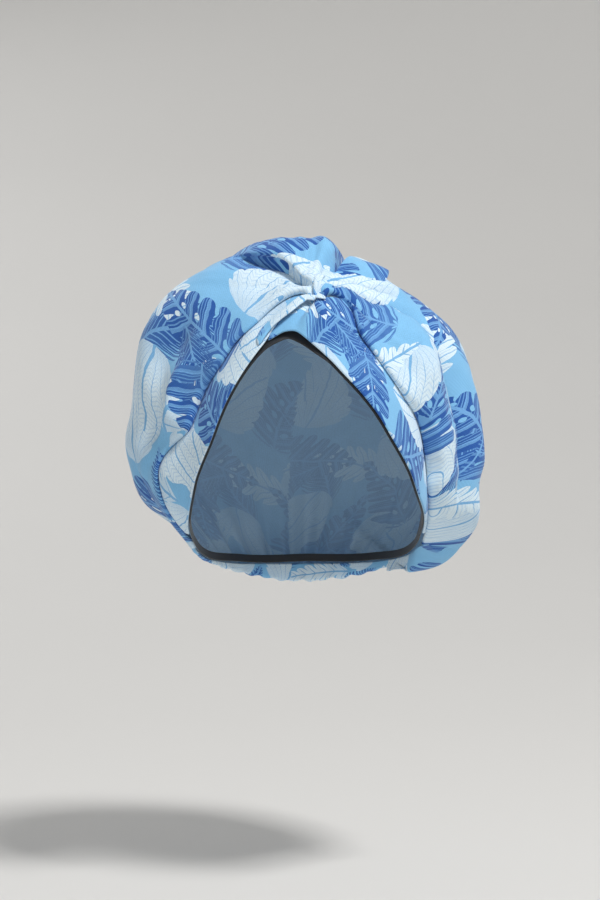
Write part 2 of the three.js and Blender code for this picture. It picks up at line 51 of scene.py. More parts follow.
# All cloth lies over one egg, the hollow. A place on it is a turn and a tilt in degrees about the
# twist at the front, as in the frame's own layout: turn 0 runs down the opening, 90 to +X, 180 over
# the crown to the nape, 270 to -X. The lift is the height over the hollow in millimetres.
HOLLOW_HALF = np.array([76.0, 98.0, 125.0])
HOLLOW_FULLNESS = 2.3  # 2 for an ellipse, more for a squarer egg
MIDDLE = np.array([0.0, 0.0, -125.0])
CROWN_REACH = 120.0  # the measure that the crown's shares below are taken of
CROWN_FRONT, CROWN_BACK, CROWN_FULLNESS = 102.0, 142.0, 2.2
POUCH_SAG = 0.6  # how far the puff hangs over the hem, as a share of its height there
POUCH_FROM = 24 / 31  # the share of the way down at which the crown starts to turn under
TWIST_AZIMUTH, TWIST_ELEVATION = 6.0, 62.5
TWIST_START, TWIST_END = 3.6, 17.6  # between these tilts all cloth goes over to its height there
TWIST_LIFT = 19.0  # the crown's height at the twist
TWIST_RISE = 7.0  # how much the bands rise to it
RIGHT_RISE = 0.6  # how much more the right band rises, to meet the gathers beside the twist
BAND_LIFT, BAND_WALL, LAYER_GAP, CROWN_GAP, CROWN_WALL = 2.0, 1.6, 0.5, 1.2, 1.8
BAND_TOP = BAND_LIFT + BAND_WALL
LAYERS_CROSS = 32, 20  # the tilts between which the left band climbs on to the right one
COVERED = 3, 12  # how far in under the crown's edge a band starts and ends to sink
COVERED_SINKS = 0.85  # the share of its rise to the twist that it loses there
BANDS_END = 114, 122  # the tilts between which the crown comes down from the bands' ends
MERGED = 2.4  # how far the crown's edge presses into the right band where both run into the twist
MERGED_TILTS, MERGED_TURNS = (15, 7), (175, 155)  # where it starts to do so and does so in full
PUFF = 0.5  # 0 for a crown that lies flat beside its folded edges, 1 for one that stands up there


def table(columns, rows):
    """A table of numbers with named columns."""
    return dict(zip(columns.split(), np.array(rows, float).T))


# The crown's outline from the front: reach as a share of CROWN_REACH at each angle about the middle
OUTLINE = table("at reach", [
    (-40, 0.82), (-27, 0.94), (-14, 0.975), (0, 0.965), (15, 1.013), (29, 1.079), (43, 1.155),
    (60, 1.195), (75, 1.233), (90, 1.292), (104, 1.325), (116, 1.317), (126, 1.3), (135, 1.242),
    (147, 1.125), (156, 1.067), (166, 1.05), (175, 1.0), (186, 0.942), (195, 0.846), (203, 0.8),
    (212, 0.758), (320, 0.758)])

# The crown's folded edges. edge: how far the fold's top stands off the hollow, under: how far the
# band beneath it does, rise: how far in the crown takes to reach its full height
LEFT_EDGE = table("tilt turn edge under rise", [
    (3.6, 240, 0.15, 0.03, 0.5), (6, 250, 0.125, 0.03, 0.5), (9.5, 262, 0.1, 0.03, 0.5),
    (13.4, 269, 0.09, 0.03, 0.5), (18.8, 277, 0.085, 0.03, 0.5), (25, 278.5, 0.083, 0.03, 0.5),
    (33, 281.5, 0.083, 0.03, 0.5), (41, 280.5, 0.083, 0.03, 0.5), (49, 282, 0.092, 0.035, 0.5),
    (57, 285, 0.11, 0.06, 0.5), (66, 280, 0.15, 0.11, 0.5), (73, 279, 0.19, 0.16, 0.5),
    (79, 280, 0.21, 0.18, 0.5), (88, 282, 0.18, 0.15, 0.5), (100, 280, 0.12, 0.085, 0.5),
    (114, 272, 0.07, 0.035, 0.5), (127, 261, 0.05, 0.03, 0.5)])
RIGHT_EDGE = table("tilt turn edge rise", [
    (3.6, 112, 0.15, 0.5), (7, 97, 0.09, 0.5), (12.9, 63, 0.075, 0.5), (18.6, 56, 0.067, 0.5),
    (26, 55, 0.067, 0.5), (32, 57, 0.067, 0.5), (38.4, 60, 0.075, 0.5), (45, 65, 0.075, 0.5),
    (53, 67.5, 0.083, 0.48), (61, 66.5, 0.092, 0.46), (70, 66.5, 0.092, 0.42), (77, 65, 0.083, 0.36),
    (87, 67, 0.075, 0.28), (100, 73, 0.067, 0.2), (114, 81.5, 0.06, 0.16)])
HEM = table("turn tilt", [
    (63, 90), (70, 98), (76, 107), (81.5, 114), (97, 127), (128, 140), (170, 147), (216, 144.5),
    (246, 136.5), (258, 129.5), (266, 122), (276, 110)])

# Folds of the crown, in millimetres. height: below 0 for a valley. low and high: its width towards
# lower and higher turns. sharp: 2 for a round fold, 1 for a creased one. lean: how far it is pushed
# over towards higher turns, or for a valley how far the rim beside it hangs over it. It lives between
# the tilts start and end, along its path of (tilt, turn)
FOLDS = [
    # name, height, low, high, sharp, lean, start, end, path
    ("right roll", 5.5, 15, 9, 2, 1.5, 18, 88,
     [(20, 95), (26.7, 88), (33.7, 82), (39.6, 77.5), (45.4, 75), (50.4, 74), (61.8, 71.5), (80, 69)]),
    ("valley beside the right roll", -15, 3.2, 19, 1.3, 8, 14, 96,
     [(15, 122), (20, 107), (26.7, 97.5), (33.7, 91.5), (39.6, 87.5), (45.4, 85.5), (50.4, 84.2),
      (61.8, 80.5), (80, 75)]),
    ("crease under the upper roll", -8.5, 1.8, 9, 1.2, 5, 1.2, 31,
     [(1, 200), (4, 201), (9.7, 202), (11.7, 204.5), (13.8, 206.5), (17, 211), (21.4, 215), (29, 220)]),
    ("upper roll", 5.0, 13, 6, 2, 1, 2, 36,
     [(1, 184), (4, 184), (10, 188), (14, 194), (17, 200), (22, 206), (32, 212)]),
    ("crown lump", 9.5, 9, 27, 2, 0, 4, 54,
     [(5, 172), (14, 174), (24, 175), (44, 180)]),
    ("brow of the lump", 4.5, 7, 10, 2.5, 0, 7, 46,
     [(8, 163), (14, 165), (20, 165), (28, 166), (44, 170)]),
    ("drop beside the lump", -6.5, 8, 3.2, 1.4, -2.5, 8, 44,
     [(8, 151), (14, 155), (24, 158), (44, 160)]),
    ("strip over the twist", 2.2, 3, 2.6, 2, 0, 0.8, 18,
     [(1, 178), (4.9, 177), (7.7, 172), (10.8, 170), (18, 168)]),
    ("swell beside the twist", 4.5, 16, 16, 2, 0, 3, 32,
     [(3, 135), (10, 125), (18, 122), (30, 118)]),
    ("first pleat", -7.5, 1.1, 2.2, 1.2, 2, 3, 27,
     [(7, 165), (9.7, 162), (11.8, 157), (16, 151), (24, 147)]),
    ("second pleat", -7.5, 1.1, 2.4, 1.2, 2, 2.5, 29,
     [(3.5, 152), (6, 139), (8.1, 130), (12.3, 121), (16.4, 115), (26, 113)]),
    ("third pleat", -7, 1.1, 2.2, 1.2, 2, 2, 25,
     [(2, 145), (4.2, 126), (7.4, 113.4), (10.8, 108), (13.9, 103), (22, 100)]),
    ("fourth pleat", -5.5, 1.1, 2.0, 1.2, 1.5, 2, 20,
     [(2, 130), (4.7, 109), (7.7, 94), (11, 82), (17, 76)]),
    ("left pleat", -1.8, 2.2, 2.2, 1.3, 0, 3, 26,
     [(3, 222), (8, 228), (14, 236), (26, 243)]),
    ("left dimple", -6.5, 12, 12, 2, 0, 30, 84,
     [(30, 252), (40, 257), (48.6, 260), (55, 265), (63, 270), (84, 271)]),
    ("left ridge", 4.6, 6, 7, 2, 0, 34, 90,
     [(34, 270), (42, 270), (50, 272), (58, 276), (66, 274), (90, 271)]),
    ("fold under the left side", -8.0, 16, 9, 1.6, 0, 78, 128,
     [(80, 262), (91, 267), (102, 268), (111, 266), (124, 260)]),
    ("right lower fold", -3.6, 16, 16, 2, 0, 78, 118,
     [(78, 88), (95, 92), (118, 100)]),
]

# Gathers, pleats side by side between the turns first and last: they start at the tilt near, are
# deepest at peak and end at far
GATHERS = [
    # height, first, last, pleats, near, peak, far
    (0.8, 206, 270, 5, 2, 6, 22),
    (2.4, 110, 250, 13, 100, 140, 170)]

# The bands, a row for each station from the twist to the hem: the side at the opening, then the
# inner side under the crown
BAND_COLUMNS = "edge_turn edge_tilt inner_turn inner_tilt"
LEFT_BAND = table(BAND_COLUMNS, [
    (285, 3.6, 205, 3), (294.5, 8, 245, 10), (293.5, 12.5, 262, 16), (302, 20, 274, 25),
    (301.7, 31, 275, 36), (302, 42.5, 275, 46), (302, 54, 279, 56), (299.5, 63, 275, 66),
    (296, 73, 274, 74), (293, 85, 276, 86), (287, 98, 275, 99), (277, 111, 268, 113)])
RIGHT_BAND = table(BAND_COLUMNS, [
    (299, 17.5, 283, 12), (309, 12.8, 286, 3.5), (330, 11.7, 320, 1.2), (362, 16.2, 430, 1.2),
    (379, 25, 458, 8), (391, 36.6, 423, 29), (398, 49, 430, 43), (406, 63, 432, 58),
    (411.5, 75, 430, 72), (419.5, 86, 431, 84), (427.5, 96, 436, 95), (436, 107, 440, 106.5)])
HEM_ROLL = table("tilt turn full", [
    (2.8, 50, 0.55), (1.3, 15, 0.85), (1.5, 300, 1), (3.3, 280, 1), (5.4, 291, 1), (8.7, 295.5, 1),
    (12.3, 293.5, 1), (15.6, 293, 1), (18.6, 296.5, 0.85), (21, 301, 0.35)])
FLAP = table("low low_tilt high high_tilt", [
    (146, 11, 155, 11.5), (136, 12.6, 151.5, 16), (127, 14.6, 150, 20.5), (121, 17.5, 146.5, 25),
    (119, 21.5, 136, 28.6)])


def mix(a, b, t):
    return a + (b - a) * t


def smooth(x):
    x = np.clip(x, 0, 1)
    return x * x * (3 - 2 * x)


def ramp(x, start, end):
    """A soft rise from 0 at the start to 1 at the end, which may lie on either side of it."""
    return smooth((x - start) / (end - start))


def curve(keys, values, at):
    """A smooth curve through the values at their keys."""
    at = np.asarray(at, float)
    n = len(keys)
    slopes = np.array([(values[min(n - 1, i + 1)] - values[max(0, i - 1)])
                       / (keys[min(n - 1, i + 1)] - keys[max(0, i - 1)]) for i in range(n)])
    i = np.clip(np.searchsorted(keys, at, side="left") - 1, 0, n - 2)
    span = keys[i + 1] - keys[i]
    t = np.clip((at - keys[i]) / span, 0, 1)
    return (values[i] * (2 * t ** 3 - 3 * t ** 2 + 1) + slopes[i] * span * (t ** 3 - 2 * t ** 2 + t)
            + values[i + 1] * (3 * t ** 2 - 2 * t ** 3) + slopes[i + 1] * span * (t ** 3 - t ** 2))


def along(rows, key, column, at):
    """A table's column on a smooth curve over its key column."""
    return curve(rows[key], rows[column], at)


def in_order(rows, column, share):
    """A table's column on a smooth curve, by the share of the way from its first row to its last."""
    order = np.arange(len(rows[column]), dtype=float)
    return curve(order, rows[column], np.asarray(share, float) * order[-1])


def unit(v):
    return v / np.linalg.norm(v, axis=-1, keepdims=True)


def twist_axes():
    a, e = np.radians(TWIST_AZIMUTH), np.radians(TWIST_ELEVATION)
    twist = np.array([np.sin(a) * np.cos(e), -np.cos(a) * np.cos(e), np.sin(e)])
    below = unit(np.array([0, 0, -1]) + twist * twist[2])
    return twist, below, unit(np.cross(twist, below))


TWIST, BELOW, BESIDE = twist_axes()


def ray(turn, tilt):
    """The direction from the middle at a turn and a tilt."""
    turn, tilt = np.broadcast_arrays(np.radians(turn), np.radians(tilt))
    return (np.cos(tilt)[..., None] * TWIST + (np.sin(tilt) * np.cos(turn))[..., None] * BELOW
            + (np.sin(tilt) * np.sin(turn))[..., None] * BESIDE)


def angles(d):
    """The turn, from 0 to 360, and the tilt of a direction."""
    turn = np.degrees(np.arctan2(d @ BESIDE, d @ BELOW)) % 360
    return turn, np.degrees(np.arccos(np.clip(d @ TWIST, -1, 1)))


def hollow_radius(d):
    return (np.abs(d / HOLLOW_HALF) ** HOLLOW_FULLNESS).sum(-1) ** (-1 / HOLLOW_FULLNESS)


def crown_radius(d):
    angle = np.degrees(np.arctan2(d[..., 2], d[..., 0]))
    angle = np.where(angle < OUTLINE["at"][0], angle + 360, angle)
    reach = CROWN_REACH * along(OUTLINE, "at", "reach", angle)
    depth = np.where(d[..., 1] < 0, CROWN_FRONT, CROWN_BACK)
    n = CROWN_FULLNESS
    return ((np.hypot(d[..., 0], d[..., 2]) / reach) ** n
            + (np.abs(d[..., 1]) / depth) ** n) ** (-1 / n)


def lifted(d, lift):
    """The point in a direction that lies so high over the hollow."""
    return MIDDLE + d * (hollow_radius(d) + lift)[..., None]


def place(turn, tilt, lift):
    return lifted(ray(turn, tilt), lift)


DEGREES_PER_MM = 180 / (np.pi * CROWN_REACH)


def turn_per_mm(tilt):
    return DEGREES_PER_MM / np.sin(np.radians(np.maximum(tilt, TWIST_START / 2)))


def edge_turns(tilt):
    """The turns of the crown's folded edges, the right one and the left one."""
    return along(RIGHT_EDGE, "tilt", "turn", tilt), along(LEFT_EDGE, "tilt", "turn", tilt)


def from_edges(turn, tilt):
    """Millimetres to a place from the right edge and from the left one."""
    right, left = edge_turns(tilt)
    return (turn - right) / turn_per_mm(tilt), (left - turn) / turn_per_mm(tilt)


def band_top(turn, tilt, layer):
    """Lift of a band's outer face. The left band, layer 1, crosses over the right one, layer 0."""
    covered = ramp(np.minimum(*from_edges(turn, tilt)), *COVERED)
    to_twist = TWIST_RISE * ramp(tilt, TWIST_END, TWIST_START) * (1 - COVERED_SINKS * covered)
    if layer == 0:
        right = np.where(turn > 180, turn - 360, turn)
        return BAND_TOP + to_twist * (1 + RIGHT_RISE * ramp(right, -50, 0))
    edge = along(LEFT_BAND, "edge_tilt", "edge_turn", tilt)
    fold = along(LEFT_EDGE, "tilt", "turn", tilt)
    rise = np.maximum(0, CROWN_REACH * along(LEFT_EDGE, "tilt", "under", tilt) - BAND_TOP)
    crossing = (BAND_WALL + LAYER_GAP) * ramp(tilt, *LAYERS_CROSS)
    return BAND_TOP + to_twist + crossing + rise * smooth((edge - turn) / np.maximum(4, edge - fold))


def crown_floor(turn, tilt):
    """The lowest that the crown's outer face may lie."""
    top = np.where(turn > 180, band_top(turn, tilt, 1), band_top(turn, tilt, 0))
    merged = MERGED * ramp(tilt, *MERGED_TILTS) * ramp(turn, *MERGED_TURNS)
    over_band = top + CROWN_GAP + CROWN_WALL - merged
    return mix(over_band, BAND_LIFT + CROWN_WALL, ramp(tilt, *BANDS_END))


def crown_lift(turn, tilt):
    """The crown's height without its folds, which falls to its folded edges and to the twist."""
    d = ray(turn, tilt)
    lift = crown_radius(d) - hollow_radius(d)
    right, left = from_edges(turn, tilt)
    for rows, inward in ((LEFT_EDGE, left), (RIGHT_EDGE, right)):
        edge = CROWN_REACH * along(rows, "tilt", "edge", tilt)
        rise = CROWN_REACH * along(rows, "tilt", "rise", tilt)
        near = np.clip(inward / rise, 0, 1)
        lift = mix(edge, lift, mix(smooth(near), 1 - (1 - near) ** 2, PUFF))
    return mix(TWIST_LIFT, lift, ramp(tilt, TWIST_START, TWIST_END))


FALL = 1.6  # how steep a fold's side is: a fifth of its height is left at its width
FADE_IN, FADE_OUT = 0.25, 0.35  # the shares of its length over which a fold grows and dies away
RIM_AT = 1.6  # how far from a valley its hanging rim lies, in widths of its steep side
RIM_REACH = 1.8, 0.8  # how far that rim reaches away from the valley and towards it
# How strongly the mesh's columns crowd at a fold, how much its lean counts beside its steepness, and
# how many millimetres past it they still do
CROWDED, LEAN_CROWDS, CROWD_PAST = 0.45, 0.4, 4


def beside_fold(turn, tilt, start, end, path):
    """Millimetres from a fold's path towards higher turns, and how much of the fold lives there."""
    tilts, turns = np.array(path, float).T
    fade = ramp(tilt, start, mix(start, end, FADE_IN)) * ramp(tilt, end, mix(end, start, FADE_OUT))
    return (turn - curve(tilts, turns, tilt)) / turn_per_mm(tilt), fade


def crowding(turn, tilt):
    """How much closer than elsewhere the mesh's columns lie, for the bends of the folds there."""
    density = np.ones(np.broadcast(turn, tilt).shape)
    for _, tall, low, high, _, over, start, end, path in FOLDS:
        off, fade = beside_fold(turn, tilt, start, end, path)
        narrow = min(low, high)
        bend = abs(tall) / narrow + LEAN_CROWDS * abs(over)
        density += CROWDED * bend * fade * np.exp(-(off / (CROWD_PAST + narrow)) ** 2)
    return density


def fold_heights(turn, tilt):
    """Height of the folds and gathers at a place on the crown, and how far they lean over."""
    height = np.zeros(np.broadcast(turn, tilt).shape)
    lean = np.zeros_like(height)
    for _, tall, low, high, sharp, over, start, end, path in FOLDS:
        off, fade = beside_fold(turn, tilt, start, end, path)
        profile = fade * np.exp(-FALL * np.abs(off / np.where(off < 0, low, high)) ** sharp)
        height += tall * profile
        if tall < 0:
            steep = low if over > 0 else high
            rim = np.sign(over) * off / steep + RIM_AT
            profile = fade * np.exp(-FALL * (rim / np.where(rim < 0, *RIM_REACH)) ** 2)
        lean += over * profile
    for deep, first, last, pleats, near, peak, far in GATHERS:
        across = (turn - first) / (last - first)
        live = ramp(tilt, near, peak) * ramp(tilt, far, peak) * smooth(4 * across) * smooth(4 - 4 * across)
        height += deep * live * np.sin(2 * np.pi * pleats * across)
    return height, lean


def ripple(u, v, seed):
    """Smooth noise from -1 to 1 over two coordinates."""
    u, v = np.broadcast_arrays(u, v)
    flat = [noise.noise(Vector((a, b, seed))) for a, b in zip(u.ravel(), v.ravel())]
    return np.array(flat).reshape(u.shape)


def steps(count):
    return np.linspace(0, 1, count + 1)


def surface_normals(grid, outward):
    """The grid's normals on the outward side."""
    n = np.cross(np.gradient(grid, axis=0), np.gradient(grid, axis=1))
    n = n * (-1 if (n * outward).sum() < 0 else 1)
    return unit(n + 1e-6 * outward)


def cloth(grid, thickness, outward):
    """Two faces of a sheet whose middle is the grid, as closed rings, set apart by the thickness given at
    each point.
    """
    n = surface_normals(grid, outward)
    half = np.asarray(thickness)[..., None] / 2
    return np.concatenate([grid + n * half, (grid - n * half)[:, ::-1]], axis=1)


def rounded(rows, columns, wide, long, wall):
    """The share of its full thickness that a sheet has at each point, down to none at its rim."""
    def side(s, size):
        d = np.minimum(s, 1 - s) * size / (wall / 2)
        return np.sqrt(np.clip(1 - (1 - np.clip(d, 0, 1)) ** 2, 0.02, 1))
    return side(rows, long)[:, None] * side(columns, wide)[None, :]


def rim_steps(count, size, wall):
    """Steps across a sheet that lie close together at its rims."""
    inset = min(0.2, 1.5 * wall / size)
    return np.interp(steps(count), [0, 0.12, 0.88, 1], [0, inset, 1 - inset, 1])


def ring_quads(rows, n, looped=False):
    """The faces between rings of n points."""
    j, i = np.meshgrid(np.arange(rows if looped else rows - 1), np.arange(n), indexing="ij")
    nj, ni = (j + 1) % rows, (i + 1) % n
    return np.stack([j * n + i, j * n + ni, nj * n + ni, nj * n + i], -1).reshape(-1, 4)


def ring_mesh(name, rings, uv, looped=False, chart=None, reverse=False):
    """A closed mesh through rings of points. uv: one chart or a list of them. chart picks one for
    each face, and reverse gives the faces on the cloth's reverse the second material."""
    rows, n = rings.shape[:2]
    quads = ring_quads(rows, n, looped)
    faces = len(quads)
    if not looped:
        k = np.arange(n // 2 - 1)
        end = (rows - 1) * n
        quads = np.concatenate([
            quads,
            np.stack([k, n - 1 - k, n - 2 - k, k + 1], -1),
            np.stack([end + k, end + k + 1, end + n - 2 - k, end + n - 1 - k], -1)])
    points = rings.reshape(-1, 3)
    a, b, c, d = (points[quads[:, q]] for q in range(4))
    if (np.cross(b - a, c - a) * a).sum() + (np.cross(c - a, d - a) * a).sum() < 0:
        quads = quads[:, ::-1]
    mesh = bpy.data.meshes.new(name)
    mesh.from_pydata((points * MM).tolist(), [], quads.tolist())
    charts = np.asarray(uv).reshape(-1, rows * n, 2)
    picked = np.zeros(len(quads), int)
    if chart is not None:
        picked[:faces] = chart[:faces // n].reshape(-1)
    layer = mesh.uv_layers.new(name="cloth_mm")
    layer.data.foreach_set("uv", charts[picked[:, None], quads].reshape(-1))
    if reverse:
        index = np.zeros(len(quads), np.int32)
        index[:faces] = np.tile(np.repeat([0, 1, 0], [n // 2, n // 2 - 1, 1]), faces // n)
        mesh.polygons.foreach_set("material_index", index)
    mesh.polygons.foreach_set("use_smooth", np.ones(len(quads), bool))
    mesh.update()
    piece = bpy.data.objects.new(name, mesh)
    bpy.context.scene.collection.objects.link(piece)
    return piece


def arc_lengths(grid, axis):
    """Millimetres along a grid's lines."""
    lengths = np.linalg.norm(np.diff(grid, axis=axis), axis=-1)
    return np.concatenate([np.zeros_like(np.take(lengths, [0], axis)), np.cumsum(lengths, axis)], axis)


def laid_flat(grid, print_at):
    """Where a grid's points lie on the flat printed cloth, in millimetres."""
    return np.stack([arc_lengths(grid, 0), arc_lengths(grid, 1)], -1) + np.array(print_at)


def both_faces(chart):
    """One chart for the two faces of a sheet, in the order of cloth()."""
    return np.concatenate([chart, chart[:, ::-1]], axis=1)


def sheet_mesh(name, grid, wall, outward, print_at=(0, 0), **marks):
    """A mesh for a sheet of cloth whose middle is the grid."""
    return ring_mesh(name, cloth(grid, wall, outward), both_faces(laid_flat(grid, print_at)), **marks)


def linear(hex_colour):
    """An sRGB hex colour as the linear colour that a shader takes."""
    parts = [int(hex_colour[n:n + 2], 16) / 255 for n in (0, 2, 4)]
    return [p / 12.92 if p <= 0.04045 else ((p + 0.055) / 1.055) ** 2.4 for p in parts] + [1.0]


def size(name, millimetres, text):
    return bpy.props.FloatProperty(name=name, description=text, default=millimetres * MM,
                                   subtype="DISTANCE", unit="LENGTH", precision=4)


def colour(name, hex_colour, text):
    return bpy.props.FloatVectorProperty(name=name, description=text, default=linear(hex_colour),
                                         subtype="COLOR", size=4, min=0, max=1)


class TurbanSizes(bpy.types.PropertyGroup):
    left_roll: size("Left roll", 2.4, "Half the width of the crown's rolled left edge")
    right_roll: size("Right roll", 1.8, "Half the width of the crown's rolled right edge")
    wrinkle: size("Wrinkles", 1.25, "Height of the small wrinkles over the crown")
    drape: size("Drape", 4.0, "Height of the broad soft folds over the back")
    hem_roll_width: size("Hem roll width", 6.8, "Width of the rolled hem at the twist")
    hem_roll_thickness: size("Hem roll thickness", 2.6, "Thickness of the rolled hem at the twist")
    strap_width: size("Twist fold width", 9.5, "Width of the fold that comes down over the twist")
    strap_thickness: size("Twist fold thickness", 2.8, "Thickness of that fold")
    flap_thickness: size("Flap thickness", 2.2, "Thickness of the corner flap")
    binding_show: size("Binding", 0.85, "How far the dark facing shows past the cloth's edge")
    repeat_width: size("Print repeat width", 154, "Width of the print's repeat")
    repeat_height: size("Print repeat height", 134, "Height of the print's repeat")
    thread: size("Thread spacing", 1.1, "Spacing of the weave's threads as they are drawn")


class TurbanColours(bpy.types.PropertyGroup):
    ground: colour("Ground", "7db9e4", "Printed ground of the cloth")
    dark_leaf: colour("Dark leaf", "2257a4", "Dark leaves of the print")
    dark_line: colour("Dark leaf lines", "6ea5da", "Veins and hatching in the dark leaves")
    pale_leaf: colour("Pale leaf", "d5e8f4", "Pale leaves of the print")
    pale_line: colour("Pale leaf lines", "78b0de", "Veins in the pale leaves")
    reverse: colour("Reverse", "b9d6ec", "The cloth's unprinted side")
    binding: colour("Binding", "15191f", "Satin facing along the opening")
    floor: colour("Floor", "d3d2d0", "Studio floor")


def mm(value):
    return value / MM


# The kinds of leaf in the print, in shares of the leaf's length. width: its half width, bow: below
# 1 puts its widest part near the stalk. The side ribs run on along the leaf, slant back and fan out
# round the stalk. cut_from and cut_wide: the slots between fingers, hole: where the holes lie, below
# 0 for none, lobe: how scalloped the edge is, vein: line width, hatch and cross: the fine lines along
# the ribs and across the leaf, etch: their strength
LEAF_NUMBERS = "width bow on slant fan ribs cut_from cut_wide hole lobe vein hatch cross etch".split()
LEAF_KINDS = {kind: dict(zip(LEAF_NUMBERS, numbers)) for kind, *numbers in (
    ("holed", 0.33, 0.62, 1.0, 0.62, 0.0, 6.0, 0.42, 0.5, 0.22, 0.25, 0.09, 4.0, 0.0, 0.75),
    ("frond", 0.22, 0.75, 1.0, 1.2, 0.0, 17.0, 0.35, 0.9, -9.0, 0.15, 0.26, 0.0, 0.0, 0.0),
    ("fan", 0.42, 0.6, 0.2, 0.0, 1.0, 5.2, 0.5, 0.0, -9.0, 0.12, 0.05, 0.0, 20.0, 0.3),
    ("feather", 0.2, 0.8, 1.0, 0.8, 0.0, 8.0, 0.35, 0.42, -9.0, 0.5, 0.07, 3.0, 0.0, 0.3),
    ("blade", 0.07, 1.0, 1.0, 0.3, 0.0, 3.0, 0.5, 0.0, -9.0, 0.0, 0.08, 0.0, 14.0, 0.6))}

# The print's repeat: each leaf's kind, tone, stalk as shares of the repeat's width and height, the
# way it points in degrees, its length in millimetres and how far it bends to the left
REPEAT = [
    ("frond", "dark", 0.02, 0.12, 62, 74, 0.25),
    ("frond", "dark", 0.55, 0.40, 118, 70, -0.2),
    ("frond", "dark", 0.90, 0.92, 200, 66, 0.2),
    ("feather", "pale", 0.30, 0.95, 82, 82, 0.25),
    ("feather", "pale", 0.76, 0.30, 15, 74, -0.25),
    ("blade", "dark", 0.44, 0.10, 150, 50, 0.4),
    ("holed", "dark", 0.40, 0.50, 196, 72, 0.15),
    ("holed", "dark", 0.92, 0.62, 96, 76, -0.15),
    ("fan", "pale", 0.20, 0.66, 120, 58, 0.1),
    ("fan", "pale", 0.64, 0.18, 262, 60, -0.1),
    ("holed", "dark", 0.56, 0.06, 40, 70, 0.2),
    ("fan", "pale", 0.84, 0.52, 210, 56, 0.15),
    ("frond", "dark", 0.14, 0.40, 335, 60, 0.2),
    ("fan", "pale", 0.12, 0.20, 285, 50, 0.1),
    ("blade", "dark", 0.70, 0.74, 25, 46, -0.4),
    ("feather", "pale", 0.50, 0.76, 330, 66, 0.2),
    ("holed", "dark", 0.30, 0.36, 300, 60, 0.1),
    ("fan", "pale", 0.36, 0.86, 20, 44, -0.1),
]


def add_node(tree, kind, links=None, **settings):
    """Adds a node with its settings, and links or sets its inputs by name or number."""
    new = tree.nodes.new(kind)
    for name, value in settings.items():
        setattr(new, name, value)
    for name, value in (links or {}).items():
        if isinstance(value, bpy.types.NodeSocket):
            tree.links.new(value, new.inputs[name])
        else:
            new.inputs[name].default_value = value
    return new


def calculate(tree, values, rows):
    """Adds a Math node for each row, which names its result, its operation and what that works on:
    named values or numbers."""
    for result, operation, *terms in rows:
        links = {n: values[t] if isinstance(t, str) else t for n, t in enumerate(terms)}
        values[result] = add_node(tree, "ShaderNodeMath", links, operation=operation).outputs[0]
    return values


